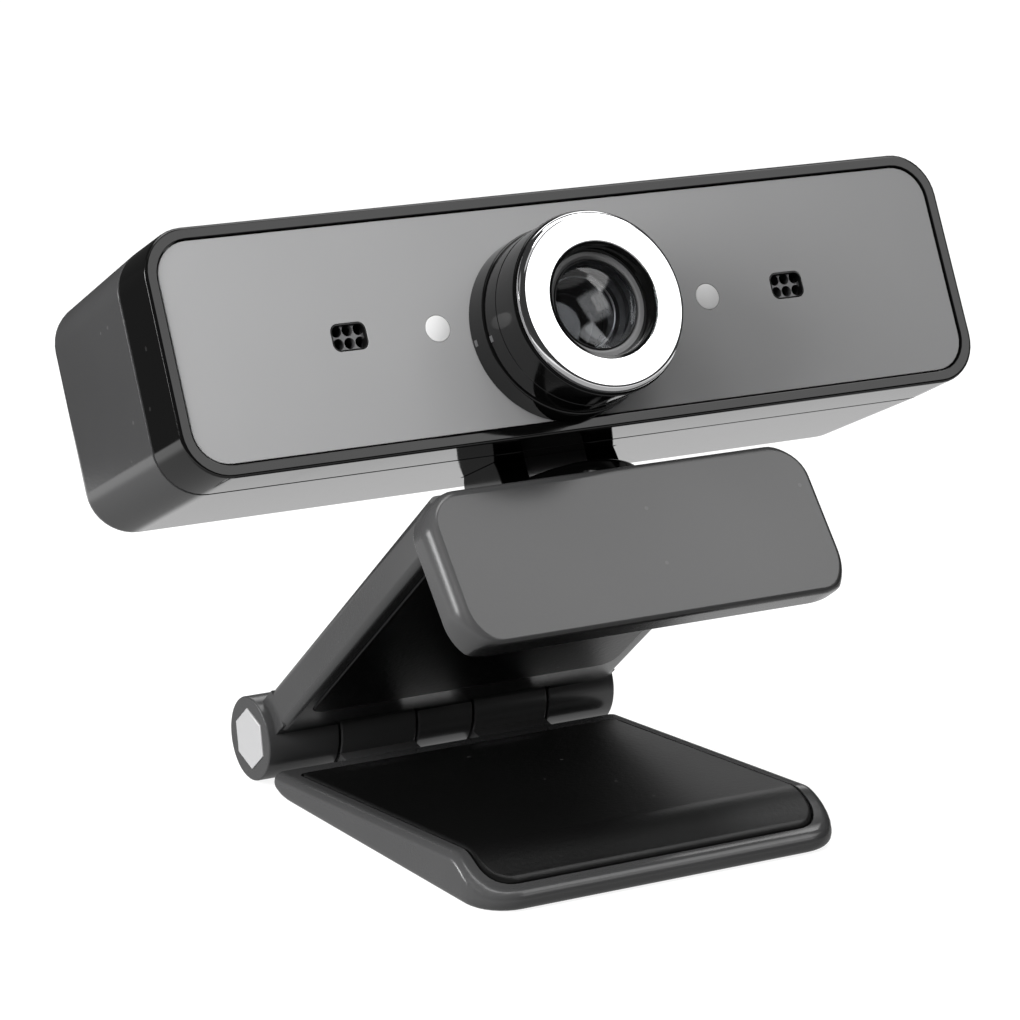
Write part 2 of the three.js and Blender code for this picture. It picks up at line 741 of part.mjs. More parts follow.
bar.add(piece(
  'cable_gland',
  cut(
    join(
      rod('y', 2.4, cavBack - 1.6, BAR_D + 0.5, 0, GLAND_Z, 24),
      rod('y', 3.7, BAR_D + GAP, BAR_D + 2.2, 0, GLAND_Z, 24),
      rod('y', 3.4, cavBack - 1.9, cavBack - GAP, 0, GLAND_Z, 24),
    ),
    rod('y', 1.7, cavBack - 5, BAR_D + 5, 0, GLAND_Z, 24),
  ),
  'rubber',
));

// ------------------------------------------------------------------ lens group
// lens holder stands on the board; its tube passes through the web and carries
// the focus ring on its outside and the sliding lens barrel in its bore
const HB = BOARD_Y - GAP; // foot of the holder
const HOLDER_FRONT = -6.4;
const bore = LBARREL_R + GAP;
const holder = cut(
  join(
    box(LENS_X - 6.4, LENS_X + 6.4, HB - 3.2, HB, LENS_Z - 6.4, LENS_Z + 6.4),
    rod('y', HOLDER_R, HOLDER_FRONT, HB - 2.6, LENS_X, LENS_Z, 32).intersect(
      box(LENS_X - 9, LENS_X + 9, -20, 20, LENS_Z - 7.0, LENS_Z + 9),
    ),
  ),
  rod('y', bore, HOLDER_FRONT - 1, HB - 2.4, LENS_X, LENS_Z, 32),
  box(LENS_X - 4.6, LENS_X + 4.6, HB - 4, HB + 1, LENS_Z - 4.6, LENS_Z + 4.6),
);
bar.add(piece('lens_holder', holder, 'chip_black'));

// fixed collar against the panel
bar.add(piece(
  'barrel_collar',
  turned(
    [
      [HOLDER_R + GAP, WEB_FRONT + WEB_T],
      [9.0, WEB_FRONT + WEB_T],
      [9.0, WEB_FRONT - GAP - PANEL_T - GAP],
      [COLLAR_R, WEB_FRONT - GAP - PANEL_T - GAP],
      [COLLAR_R, -COLLAR_L + 0.35],
      [COLLAR_R - 0.3, -COLLAR_L],
      [HOLDER_R + GAP, -COLLAR_L],
    ],
    LENS_X,
    LENS_Z,
  ),
  'gloss_black',
));

const focus = new THREE.Group(); // turns about the lens axis
bar.add(focus);
const chromeBack = -(LENS_L - CHROME_L);
focus.add(piece(
  'focus_ring',
  turned(
    [
      [HOLDER_R + GAP, -COLLAR_L - GAP],
      [FOCUS_R, -COLLAR_L - GAP],
      [FOCUS_R, chromeBack + 0.15],
      [FOCUS_R - 0.25, chromeBack + 0.0],
      [9.3, chromeBack],
      [9.3, -LENS_L + 1.2],
      [7.9, -LENS_L + 1.2],
      [7.9, HOLDER_FRONT - 0.8],
      [HOLDER_R + GAP, HOLDER_FRONT - 0.8],
    ],
    LENS_X,
    LENS_Z,
  ),
  'gloss_black',
));
focus.add(piece(
  'chrome_ring',
  turned(
    [
      [9.6, chromeBack - GAP],
      [CHROME_R, chromeBack - GAP],
      [CHROME_R, -LENS_L + 0.9],
      [CHROME_R - 0.15, -LENS_L + 0.35],
      [CHROME_R - 0.45, -LENS_L],
      [CHROME_IN, -LENS_L],
      [CHROME_IN, -LENS_L + 0.9],
      [9.6, -LENS_L + 0.9],
    ],
    LENS_X,
    LENS_Z,
  ),
  'chrome',
));
focus.add(piece(
  'lens_cup',
  turned(
    [
      [CHROME_IN - GAP, -LENS_L + 0.15],
      [CHROME_IN - GAP, -LENS_L + 1.2],
      [7.6, -LENS_L + 1.2],
      [7.6, -LENS_L + 2.0],
      [5.0, -LENS_L + 2.0],
      [5.0, -LENS_L + 1.6],
      [5.45, -LENS_L + 1.25],
      [5.6, -LENS_L + 0.8],
      [6.0, -LENS_L + 0.15],
    ],
    LENS_X,
    LENS_Z,
  ),
  'cup_grey',
));

// sliding lens barrel with its two glasses
const slide = new THREE.Group();
bar.add(slide);
const LB_FRONT = -LENS_L + 3.1;
const LB_BACK = HB - 3.6 - 1.2;
slide.add(piece(
  'lens_barrel',
  turned(
    [
      [LBARREL_R, LB_FRONT],
      [LBARREL_R, LB_BACK],
      [3.4, LB_BACK],
      [3.4, LB_BACK - 1.0],
      [4.6, LB_BACK - 1.0],
      [4.6, LB_BACK - 4.0],
      [3.6, LB_BACK - 4.0],
      [3.6, LB_FRONT + 3.4],
      [GLASS_R + GAP, LB_FRONT + 3.4],
      [GLASS_R + GAP, LB_FRONT],
    ],
    LENS_X,
    LENS_Z,
    28,
  ),
  'chip_black',
));
function glass(r, y0, y1, bulge) {
  const pts = [[0, y0 - bulge]];
  for (let i = 1; i <= 4; i++) {
    const t = (i / 4) * (Math.PI / 2);
    pts.push([r * Math.sin(t), y0 - bulge * Math.cos(t)]);
  }
  pts.push([r, y1]);
  pts.push([0, y1]);
  return turned(pts, LENS_X, LENS_Z, 32);
}
slide.add(piece('front_lens', glass(GLASS_R, LB_FRONT + 0.4, LB_FRONT + 3.1, 1.3), 'glass'));
slide.add(piece('rear_lens', glass(4.3, LB_BACK - 3.3, LB_BACK - 1.3, 0.35), 'glass'));

// ------------------------------------------------------------------- assembly
const group = new THREE.Group();
group.name = 'bar_webcam_on_clip';
group.add(clip);
group.add(arm);
group.updateMatrixWorld(true);

export default group;
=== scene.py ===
import json
import math

import bmesh
import bpy
from mathutils import Matrix, Vector


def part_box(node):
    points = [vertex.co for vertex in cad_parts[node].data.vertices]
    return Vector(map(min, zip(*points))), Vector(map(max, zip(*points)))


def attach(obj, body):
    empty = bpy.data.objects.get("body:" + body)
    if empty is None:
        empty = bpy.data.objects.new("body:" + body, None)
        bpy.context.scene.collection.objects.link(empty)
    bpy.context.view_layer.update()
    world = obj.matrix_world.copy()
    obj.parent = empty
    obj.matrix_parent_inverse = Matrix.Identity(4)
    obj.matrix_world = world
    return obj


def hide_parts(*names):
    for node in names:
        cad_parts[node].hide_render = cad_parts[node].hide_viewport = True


bl_info = {
    "name": "Bar webcam on a folding clip",
    "version": (1, 0, 0),
    "blender": (4, 5, 0),
    "location": "3D View > Sidebar > Webcam",
    "description": "Builds the webcam, its folding clip, their finishes and a plain studio",
    "category": "Object",
}

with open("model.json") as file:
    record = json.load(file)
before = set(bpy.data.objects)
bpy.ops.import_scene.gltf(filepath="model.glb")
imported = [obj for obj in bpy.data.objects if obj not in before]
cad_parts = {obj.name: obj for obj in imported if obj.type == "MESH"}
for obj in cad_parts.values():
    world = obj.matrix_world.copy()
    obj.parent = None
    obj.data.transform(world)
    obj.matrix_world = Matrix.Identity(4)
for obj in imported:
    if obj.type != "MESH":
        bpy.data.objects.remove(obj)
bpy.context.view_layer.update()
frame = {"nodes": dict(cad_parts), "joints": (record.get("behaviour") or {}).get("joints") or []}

# ------------------------------------------------------------------- frames
# Pieces are shaped in millimetres in the frame of the group they belong to,
# and the matrices in PLACES put them in place in metres.
MM = 0.001
NEAR = 1e-3  # two heights closer than this are the same, in millimetres
MERGE = 1e-4  # two points closer than this become one, in millimetres
PIN_BORE = 1.8  # radius of the bores that the pins run in
SHARP = math.radians(38)  # a steeper edge than this is shaded as a corner
JOINTS = {joint["name"]: joint for joint in frame["joints"]}
TO_METRES = Matrix.Scale(MM, 4)


def joint_place(name):
    return Vector(JOINTS[name]["pos_m"])


def leaning(place, angle):
    """A frame at place whose back leans away from upright by angle."""
    return Matrix.Translation(place) @ Matrix.Rotation(-angle, 4, "X") @ TO_METRES


SWIVEL_AXIS = Vector(JOINTS["swivel"]["axis"])
LENS_AXIS = Vector(JOINTS["focus_turn"]["axis"])
ARM_LEAN = math.atan2(SWIVEL_AXIS.y, SWIVEL_AXIS.z)
BAR_LEAN = math.atan2(LENS_AXIS.z, -LENS_AXIS.y)
LENS = Vector((-3.4, -10.9, -1.85))  # middle of the lens ring's face, in the bar's frame

BAR_MIDDLE = joint_place("focus_turn") - Matrix.Rotation(-BAR_LEAN, 3, "X") @ (LENS * MM)
PLACES = {
    "base": TO_METRES,
    "arm": leaning(joint_place("clip_hinge"), ARM_LEAN),
    "turret": leaning(joint_place("swivel"), ARM_LEAN),
    **dict.fromkeys(("bar", "focus", "lens"), leaning(BAR_MIDDLE, BAR_LEAN)),
}

# ways to stand an outline: (across, up, depth) of the outline to X, Y, Z
FLAT = Matrix.Identity(4)
UPRIGHT = Matrix(((1, 0, 0, 0), (0, 0, 1, 0), (0, 1, 0, 0), (0, 0, 0, 1)))
SIDEWAYS = Matrix(((0, 0, 1, 0), (1, 0, 0, 0), (0, 1, 0, 0), (0, 0, 0, 1)))


# ------------------------------------------------------------- shape helpers
def moved(bm, matrix):
    bmesh.ops.transform(bm, matrix=matrix, verts=bm.verts[:])
    return bm


def outward(bm):
    """Turns the faces of a closed shape outwards."""
    bmesh.ops.recalc_face_normals(bm, faces=bm.faces[:])
    return bm


def bevel(bm, geom, offset, segments, affect="EDGES"):
    bmesh.ops.bevel(bm, geom=geom, offset=offset, offset_type="OFFSET", segments=segments,
                    profile=0.5, affect=affect, clamp_overlap=True, material=-1)


def rim(bm, axis, height, radius, segments, inside=None):
    """Rounds the sharp edges that lie at one height along an axis."""
    picked = [
        edge
        for edge in bm.edges
        if all(abs(v.co[axis] - height) < NEAR for v in edge.verts)
        and edge.calc_face_angle(0) > 0.6
        and (inside is None or all(inside(v.co) for v in edge.verts))
    ]
    if not picked:
        raise ValueError(f"no edge to round at {height} along axis {axis}")
    bevel(bm, picked, radius, segments)


def raised(bm, start, end, way, rims):
    """Pulls the outline in bm from start to end, rounds both rims and stands it up."""
    bmesh.ops.translate(bm, vec=(0, 0, start), verts=bm.verts[:])
    made = bmesh.ops.extrude_face_region(bm, geom=bm.faces[:])["geom"]
    far = [item for item in made if isinstance(item, bmesh.types.BMVert)]
    bmesh.ops.translate(bm, vec=(0, 0, end - start), verts=far)
    outward(bm)
    for height, (radius, segments) in zip((start, end), rims):
        if radius:
            rim(bm, 2, height, radius, segments)
    return outward(moved(bm, way))


NO_RIMS = ((0, 1), (0, 1))


def slab(width, height, start, end, radius=0, high_radius=None, centre=(0, 0),
         way=UPRIGHT, rims=NO_RIMS, steps=8):
    """A block with a rounded outline. radius rounds its low corners, high_radius its high ones."""
    bm = bmesh.new()
    size = Matrix.Translation((*centre, 0)) @ Matrix.Diagonal((width, height, 1, 1))
    bmesh.ops.create_grid(bm, x_segments=1, y_segments=1, size=0.5, matrix=size)
    high_radius = radius if high_radius is None else high_radius
    low = [v for v in bm.verts if v.co.y < centre[1]]
    high = [v for v in bm.verts if v.co.y > centre[1]]
    for verts, r in ((low, radius), (high, high_radius)):
        if r:
            bevel(bm, verts, r, steps, "VERTICES")
    return raised(bm, start, end, way, rims)


def cutout(points, start, end, way=SIDEWAYS, rims=NO_RIMS, steps=5):
    """A block cut to an outline. A point is (across, up) or (across, up, corner radius)."""
    bm = bmesh.new()
    verts = [bm.verts.new((p[0], p[1], 0)) for p in points]
    bm.faces.new(verts)
    for vert, point in zip(verts, points):
        if len(point) > 2:
            bevel(bm, [vert], point[2], steps, "VERTICES")
    return raised(bm, start, end, way, rims)


def turned(points, centre=(LENS.x, LENS.z), axis="Y", steps=96, corner_steps=3):
    """A closed profile turned on a lathe. A point is (radius, along the axis) or has a
    corner radius as its third number. An open profile starts and ends on the axis."""
    bm = bmesh.new()
    verts = [bm.verts.new((p[0], p[1], 0)) for p in points]
    ends = list(zip(verts, verts[1:]))
    if points[0][0] > 0:
        ends.append((verts[-1], verts[0]))
    for pair in ends:
        bm.edges.new(pair)
    for vert, point in zip(verts, points):
        if len(point) > 2:
            bevel(bm, [vert], point[2], corner_steps, "VERTICES")
    bmesh.ops.spin(bm, geom=bm.verts[:] + bm.edges[:], cent=(0, 0, 0), axis=(0, 1, 0),
                   dvec=(0, 0, 0), angle=2 * math.pi, steps=steps, use_merge=True,
                   use_duplicate=False)
    bmesh.ops.remove_doubles(bm, verts=bm.verts[:], dist=MERGE)
    if axis == "Z":
        moved(bm, Matrix.Rotation(math.pi / 2, 4, "X"))
    place = (centre[0], 0, centre[1]) if axis == "Y" else (centre[0], centre[1], 0)
    bmesh.ops.translate(bm, vec=place, verts=bm.verts[:])
    return outward(bm)


def rod(axis, radius, start, end, a=0.0, b=0.0, sides=64, rounding=0.0):
    """A round bar along X, Y or Z. a and b are its place on the other two axes."""
    bm = bmesh.new()
    bmesh.ops.create_cone(
        bm, cap_ends=True, segments=sides, radius1=radius, radius2=radius, depth=end - start
    )
    bmesh.ops.translate(bm, vec=(0, 0, (start + end) / 2), verts=bm.verts[:])
    if rounding:
        rim(bm, 2, start, rounding, 3)
        rim(bm, 2, end, rounding, 3)
    way = {
        "X": Matrix.Translation((0, a, b)) @ SIDEWAYS,
        "Y": Matrix.Translation((a, 0, b)) @ UPRIGHT,
        "Z": Matrix.Translation((a, b, 0)),
    }[axis]
    return outward(moved(bm, way))


def both(start, end):
    """A stretch along X and its mirror image."""
    return (start, end), (-end, -start)


def eased(share):
    """Runs smoothly from 0 to 1 as share does, and stays there beyond."""
    share = min(max(share, 0), 1)
    return share * (share * (3 - 2 * share))


def hexagon(radius, start, end, rounding=0.0):
    """A six-sided plug along X with corners up and down."""
    bm = bmesh.new()
    bmesh.ops.create_circle(bm, cap_ends=True, segments=6, radius=radius)
    rims = ((rounding, 2), (rounding, 2))
    return raised(bm, start, end, SIDEWAYS @ Matrix.Rotation(math.radians(30), 4, "Z"), rims)


def together(shapes):
    """Several shapes as one mesh, left as they are."""
    whole = bmesh.new()
    for shape in shapes:
        mesh = bpy.data.meshes.new("part")
        shape.to_mesh(mesh)
        shape.free()
        whole.from_mesh(mesh)
        bpy.data.meshes.remove(mesh)
    return whole


def combined(bm, tool, operation):
    """bm joined with tool, cut by it, or kept where the two overlap."""
    holders = []
    for shape in (bm, tool):
        mesh = bpy.data.meshes.new("blank")
        shape.to_mesh(mesh)
        shape.free()
        holder = bpy.data.objects.new("blank", mesh)
        bpy.context.scene.collection.objects.link(holder)
        holders.append(holder)
    step = holders[0].modifiers.new("combine", "BOOLEAN")
    step.operation = operation
    step.solver = "EXACT"
    step.object = holders[1]
    graph = bpy.context.evaluated_depsgraph_get()
    result = bpy.data.meshes.new_from_object(holders[0].evaluated_get(graph))
    out = bmesh.new()
    out.from_mesh(result)
    bpy.data.meshes.remove(result)
    for holder in holders:
        mesh = holder.data
        bpy.data.objects.remove(holder)
        bpy.data.meshes.remove(mesh)
    if not out.faces:
        raise ValueError(f"{operation} left nothing")
    bmesh.ops.remove_doubles(out, verts=out.verts[:], dist=MERGE)
    bmesh.ops.dissolve_degenerate(out, dist=MERGE, edges=out.edges[:])
    return out


def cut(bm, *tools):
    for tool in tools:
        bm = combined(bm, tool, "DIFFERENCE")
    return bm


def joined(bm, *shapes):
    for shape in shapes:
        bm = combined(bm, shape, "UNION")
    return bm


def piece(bm, name, body, slot, replaces=()):
    """Puts a finished shape in place, in its finish, riding on its body."""
    moved(bm, PLACES[body])
    for face in bm.faces:
        face.smooth = True
    for edge in bm.edges:
        edge.smooth = edge.calc_face_angle(0) < SHARP
    mesh = bpy.data.meshes.new(name)
    bm.to_mesh(mesh)
    bm.free()
    made = bpy.data.objects.new(name, mesh)
    bpy.context.scene.collection.objects.link(made)
    shading = made.modifiers.new("even_shading", "WEIGHTED_NORMAL")
    shading.keep_sharp = True
    shading.weight = 80
    mesh.materials.append(finish(slot))
    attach(made, body)
    if replaces:
        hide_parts(*replaces)
    return made


def carried(node, slot):
    """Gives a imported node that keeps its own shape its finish."""
    mesh = frame["nodes"][node].data
    mesh.materials.clear()
    mesh.materials.append(finish(slot))


# ---------------------------------------------------------- finishes, shared
def add(tree, kind, settings=None, **inputs):
    """A node with its settings and inputs. An input is a value or another node's output."""
    node = tree.nodes.new(kind)
    for key, value in (settings or {}).items():
        setattr(node, key, value)
    for key, value in inputs.items():
        name = key.replace("_", " ")
        socket = node.inputs[int(key[1:])] if key[1:].isdigit() else node.inputs[name]
        if isinstance(value, bpy.types.NodeSocket):
            tree.links.new(value, socket)
        else:
            socket.default_value = value
    return node


def maths(tree, operation, first, second=0.0, third=0.0):
    return add(tree, "ShaderNodeMath", {"operation": operation},
               i0=first, i1=second, i2=third).outputs[0]


def between(tree, factor, low, high):
    """A value that runs from low to high as factor runs from 0 to 1."""
    return add(tree, "ShaderNodeMapRange", i0=factor, i3=low, i4=high).outputs[0]


def ramp(tree, value, start, end, low=0.0, high=1.0):
    """A value that eases from low to high as value runs from start to end."""
    return add(tree, "ShaderNodeMapRange", {"interpolation_type": "SMOOTHSTEP"},
               i0=value, i1=start, i2=end, i3=low, i4=high).outputs[0]


def shade(tree, factor, low, high):
    """A colour that runs from low to high as factor runs from 0 to 1."""
    node = add(tree, "ShaderNodeMix", {"data_type": "RGBA"}, i0=factor)
    for socket, colour in zip((node.inputs[6], node.inputs[7]), (low, high)):
        if isinstance(colour, bpy.types.NodeSocket):
            tree.links.new(colour, socket)
        else:
            socket.default_value = (*colour[:3], 1)
    return node.outputs[2]


def spread(colour, share):
    """A darker and a lighter neighbour of a colour."""
    return [tuple(c * k for c in colour[:3]) for k in (1 - share, 1 + share)]


def new_group(name, inputs, outputs):
    tree = bpy.data.node_groups.new(name, "ShaderNodeTree")
    for label, default in inputs:
        kind = "NodeSocketVector" if default is None else "NodeSocketFloat"
        socket = tree.interface.new_socket(name=label, in_out="INPUT", socket_type=kind)
        if default is not None:
            socket.default_value = default
    for label in outputs:
        tree.interface.new_socket(name=label, in_out="OUTPUT", socket_type="NodeSocketFloat")
    start = tree.nodes.new("NodeGroupInput")
    end = tree.nodes.new("NodeGroupOutput")
    return tree, start.outputs, end.inputs


def group_grain():
    """Moulded grain: a fine height, and a slow drift of tone over the surface."""
    tree, given, out = new_group(
        "moulded_grain", [("Place", None), ("Scale", 3000.0), ("Drift", 60.0)],
        ["Height", "Tone"],
    )
    fine = add(tree, "ShaderNodeTexNoise", Vector=given[0], Scale=given[1], Detail=3.0,
               Roughness=0.6)
    slow = add(tree, "ShaderNodeTexNoise", Vector=given[0], Scale=given[2], Detail=2.0)
    tree.links.new(fine.outputs[0], out[0])
    tree.links.new(slow.outputs[0], out[1])


def group_handling():
    """Faint wiped smears and finger marks, as a share from 0 to 1."""
    tree, given, out = new_group(
        "handling_marks", [("Place", None), ("Scale", 40.0), ("Stretch", 3.0)], ["Mask"]
    )
    long = add(tree, "ShaderNodeMapping", Vector=given[0])
    size = add(tree, "ShaderNodeCombineXYZ", X=given[2], Y=1.0, Z=1.0)
    tree.links.new(size.outputs[0], long.inputs["Scale"])
    smear = add(tree, "ShaderNodeTexNoise", Vector=long.outputs[0], Scale=given[1],
                Detail=5.0, Roughness=0.55, Distortion=0.6)
    tree.links.new(ramp(tree, smear.outputs[0], 0.45, 0.75), out[0])


def group_dust():
    """Scattered specks of lint and dust, 1 on a speck."""
    tree, given, out = new_group(
        "dust_specks", [("Place", None), ("Scale", 500.0), ("Size", 0.12)], ["Mask"]
    )
    cells = add(tree, "ShaderNodeTexVoronoi", {"feature": "F1"}, Vector=given[0],
                Scale=given[1])
    rare = add(tree, "ShaderNodeSeparateColor", i0=cells.outputs["Color"])
    few = maths(tree, "GREATER_THAN", rare.outputs[0], 0.95)
    near = maths(tree, "LESS_THAN", cells.outputs["Distance"], given[2])
    tree.links.new(maths(tree, "MULTIPLY", few, near), out[0])


def group_lathe():
    """Fine rings left by a lathe round the lens axis, as a height from 0 to 1."""
    tree, given, out = new_group("lathe_rings", [("Place", None), ("Pitch", 9000.0)], ["Height"])
    flat = add(tree, "ShaderNodeVectorMath", {"operation": "MULTIPLY"}, i0=given[0],
               i1=(1, 0, 1))
    away = add(tree, "ShaderNodeVectorMath", {"operation": "LENGTH"}, i0=flat.outputs[0])
    ring = maths(tree, "MULTIPLY", away.outputs["Value"], given[1])
    rough = add(tree, "ShaderNodeTexNoise", {"noise_dimensions": "1D"}, W=ring, Scale=1.0,
                Detail=4.0, Roughness=0.7)
    tree.links.new(rough.outputs[0], out[0])


def use_group(tree, name, **inputs):
    node = tree.nodes.new("ShaderNodeGroup")
    node.node_tree = bpy.data.node_groups[name]
    for key, value in inputs.items():
        if isinstance(value, bpy.types.NodeSocket):
            tree.links.new(value, node.inputs[key])
        else:
            node.inputs[key].default_value = value
    return node.outputs


def base_material(name):
    material = bpy.data.materials.new("webcam_" + name)
    material.use_nodes = True
    tree = material.node_tree
    shader = tree.nodes["Principled BSDF"]
    place = tree.nodes.new("ShaderNodeTexCoord").outputs["Object"]
    return material, tree, shader, place


def cover(tree, shader, colour, roughness):
    tree.links.new(colour, shader.inputs["Base Color"])
    tree.links.new(roughness, shader.inputs["Roughness"])


def bump(tree, shader, height, depth):
    node = add(tree, "ShaderNodeBump", Strength=1.0, Distance=depth, Height=height)
    tree.links.new(node.outputs[0], shader.inputs["Normal"])


def moulded(name, colour, roughness, grain, depth, varied=0.12, marks=0.0, dust=0.0, **own):
    """A moulded or plain surface: colour drift, grain, handling marks and dust. What is
    left are the shader's own values, such as Metallic."""
    material, tree, shader, place = base_material(name)
    surface = use_group(tree, "moulded_grain", Place=place, Scale=grain)
    tone = shade(tree, surface["Tone"], *spread(colour, varied))
    rough = between(tree, surface["Tone"], roughness * 0.9, roughness * 1.1)
    if marks:
        mask = use_group(tree, "handling_marks", Place=place)["Mask"]
        rough = maths(tree, "MULTIPLY_ADD", mask, marks, rough)
    if dust:
        specks = use_group(tree, "dust_specks", Place=place)["Mask"]
        share = maths(tree, "MULTIPLY", specks, dust)
        tone = shade(tree, share, tone, (0.5, 0.5, 0.5))
    cover(tree, shader, tone, rough)
    if depth:
        bump(tree, shader, surface["Height"], depth)
    for key, value in own.items():
        shader.inputs[key.replace("_", " ")].default_value = value
    return material


def at_lens(tree, place):
    """Object coordinates with the lens axis as their Y axis."""
    node = add(tree, "ShaderNodeMapping", {"vector_type": "TEXTURE"}, Vector=place)
    node.inputs["Location"].default_value = joint_place("focus_turn")
    node.inputs["Rotation"].default_value = (-BAR_LEAN, 0, 0)
    return node.outputs[0]


# ------------------------------------------------------------ finishes, each
def satin_plastic(look):
    return moulded("satin_plastic", look.clip, 0.24, 2600, 5e-6, dust=0.03)


def bar_plastic(look):
    return moulded("bar_plastic", look.shell, 0.12, 2600, 6e-6, dust=0.04)


def gloss_black(look):
    return moulded("gloss_black", look.gloss, 0.07, 2000, 0, marks=0.06, dust=0.02)


def panel_grey(look):
    return moulded("panel_grey", look.panel, 0.45, 900, 0, 0.04, marks=0.04,
                   Specular_IOR_Level=0.3)


def rubber(look):
    return moulded("rubber", look.rubber, 0.42, 1800, 3e-5, 0.15, dust=0.1)


def hex_silver(look):
    return moulded("hex_silver", look.silver, 0.3, 3000, 4e-6, 0.05, Metallic=0.4)


def steel(look):
    return moulded("steel", (0.42, 0.42, 0.43), 0.28, 5000, 3e-6, 0.08, Metallic=1.0)


def light_window(look):
    return moulded("light_window", look.window, 0.35, 4000, 4e-6, 0.05,
                   Subsurface_Weight=0.2, Subsurface_Scale=0.001,
                   Subsurface_Radius=(1.0, 1.0, 1.0))


def mesh_grey(look):
    return moulded("mesh_grey", look.mesh, 0.3, 6000, 5e-6, Metallic=0.6)


def chip_black(look):
    return moulded("chip_black", (0.012, 0.012, 0.013), 0.5, 4000, 6e-6, 0.2)


def nylon_white(look):
    return moulded("nylon_white", (0.75, 0.74, 0.7), 0.45, 3000, 6e-6, 0.05)


def chrome(look):
    material, tree, shader, place = base_material("chrome")
    rings = use_group(tree, "lathe_rings", Place=at_lens(tree, place), Pitch=26000)["Height"]
    mask = use_group(tree, "handling_marks", Place=place, Scale=90)["Mask"]
    cover(tree, shader, shade(tree, rings, *spread(look.chrome, 0.02)),
          between(tree, mask, 0.05, 0.1))
    bump(tree, shader, rings, 1.2e-6)
    shader.inputs["Metallic"].default_value = 1.0
    return material


def cup_grey(look):
    material, tree, shader, place = base_material("cup_grey")
    rings = use_group(tree, "lathe_rings", Place=at_lens(tree, place), Pitch=12000)["Height"]
    cover(tree, shader, shade(tree, rings, *spread(look.throat, 0.12)),
          between(tree, rings, 0.2, 0.3))
    bump(tree, shader, rings, 8e-6)
    return material


def glass(look):
    material, tree, shader, place = base_material("glass")
    mask = use_group(tree, "handling_marks", Place=place, Scale=120)["Mask"]
    tree.links.new(between(tree, mask, 0.0, 0.03), shader.inputs["Roughness"])
    shader.inputs["Base Color"].default_value = (0.95, 0.97, 1.0, 1)
    shader.inputs["Transmission Weight"].default_value = 1.0
    shader.inputs["IOR"].default_value = 1.52
    return material


def board_green(look):
    material, tree, shader, place = base_material("board_green")
    tracks = add(tree, "ShaderNodeTexBrick", Vector=place, Scale=400.0)
    tracks.inputs["Color1"].default_value = (0.012, 0.1, 0.035, 1)
    tracks.inputs["Color2"].default_value = (0.02, 0.14, 0.05, 1)
    tracks.inputs["Mortar"].default_value = (0.03, 0.2, 0.07, 1)
    tracks.inputs["Mortar Size"].default_value = 0.04
    surface = use_group(tree, "moulded_grain", Place=place, Scale=1500)
    cover(tree, shader, tracks.outputs[0], between(tree, surface["Tone"], 0.25, 0.4))
    bump(tree, shader, tracks.outputs["Fac"], 3e-5)
    return material


def sensor_glass(look):
    material, tree, shader, place = base_material("sensor_glass")
    cells = add(tree, "ShaderNodeTexChecker", Vector=place, Scale=9000.0)
    cells.inputs["Color1"].default_value = (0.03, 0.05, 0.08, 1)
    cells.inputs["Color2"].default_value = (0.05, 0.04, 0.09, 1)
    mask = use_group(tree, "handling_marks", Place=place)["Mask"]
    cover(tree, shader, cells.outputs[0], between(tree, mask, 0.06, 0.14))
    return material


FINISHES = {
    maker.__name__: maker
    for maker in (
        satin_plastic, bar_plastic, gloss_black, panel_grey, rubber, hex_silver, steel,
        chrome, cup_grey, glass, light_window, mesh_grey, board_green, chip_black,
        nylon_white, sensor_glass,
    )
}


GROUPS = {
    "moulded_grain": group_grain,
    "handling_marks": group_handling,
    "dust_specks": group_dust,
    "lathe_rings": group_lathe,
}


def finish(slot):
    """The material of a slot, made the first time it is asked for."""
    if "webcam_" + slot not in bpy.data.materials:
        for name, group in GROUPS.items():
            if name not in bpy.data.node_groups:
                group()
        FINISHES[slot](bpy.context.scene.webcam_finish)
    return bpy.data.materials["webcam_" + slot]


# ---------------------------------------------------------------- properties
def length(name, description, default):
    return bpy.props.FloatProperty(name=name, description=description, default=default * MM,
                                   min=0, unit="LENGTH", precision=5)


def colour(name, description, default):
    return bpy.props.FloatVectorProperty(name=name, description=description, default=default,
                                         min=0, max=1, subtype="COLOR", size=3)


def millimetres(group):
    """The lengths of a property group, in millimetres."""
    return {key: getattr(group, key) / MM for key in group.__annotations__}


BAR_ENDS = [corner.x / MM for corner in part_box("front_bezel")]


class WebcamBarSizes(bpy.types.PropertyGroup):
    width: length("Width", "Width of the camera bar", round(BAR_ENDS[1] - BAR_ENDS[0], 2))
    height: length("Height", "Height of the camera bar", 27)
    depth: length("Depth", "Depth of the camera bar", 29)
    corner: length("Corner", "Corner radius of the bar seen from the front", 5.2)
    band_depth: length("Band depth", "Depth of the glossy front band", 7.2)
    panel_width: length("Panel width", "Width of the front panel", 97)
    panel_height: length("Panel height", "Height of the front panel", 24)
    panel_corner: length("Panel corner", "Corner radius of the front panel", 3.9)
    row_x: length("Row offset", "How far left of centre the row of lights is", 0.5)
    row_z: length("Row drop", "How far below centre the row of lights is", 0.4)
    light_x: length("Light spacing", "From the row's middle to each light", 17.1)
    mic_x: length("Microphone spacing", "From the row's middle to each microphone", 27.7)


class WebcamLensSizes(bpy.types.PropertyGroup):
    collar: length("Collar radius", "Radius of the fixed collar", 10.5)
    ring: length("Focus ring radius", "Radius of the focus ring", 10.25)
    chrome: length("Bright ring radius", "Radius of the bright front ring", 10.0)
    throat: length("Throat radius", "Radius of the opening in the bright ring", 6.45)
    tube: length("Tube radius", "Radius of the sliding lens tube", 5.0)


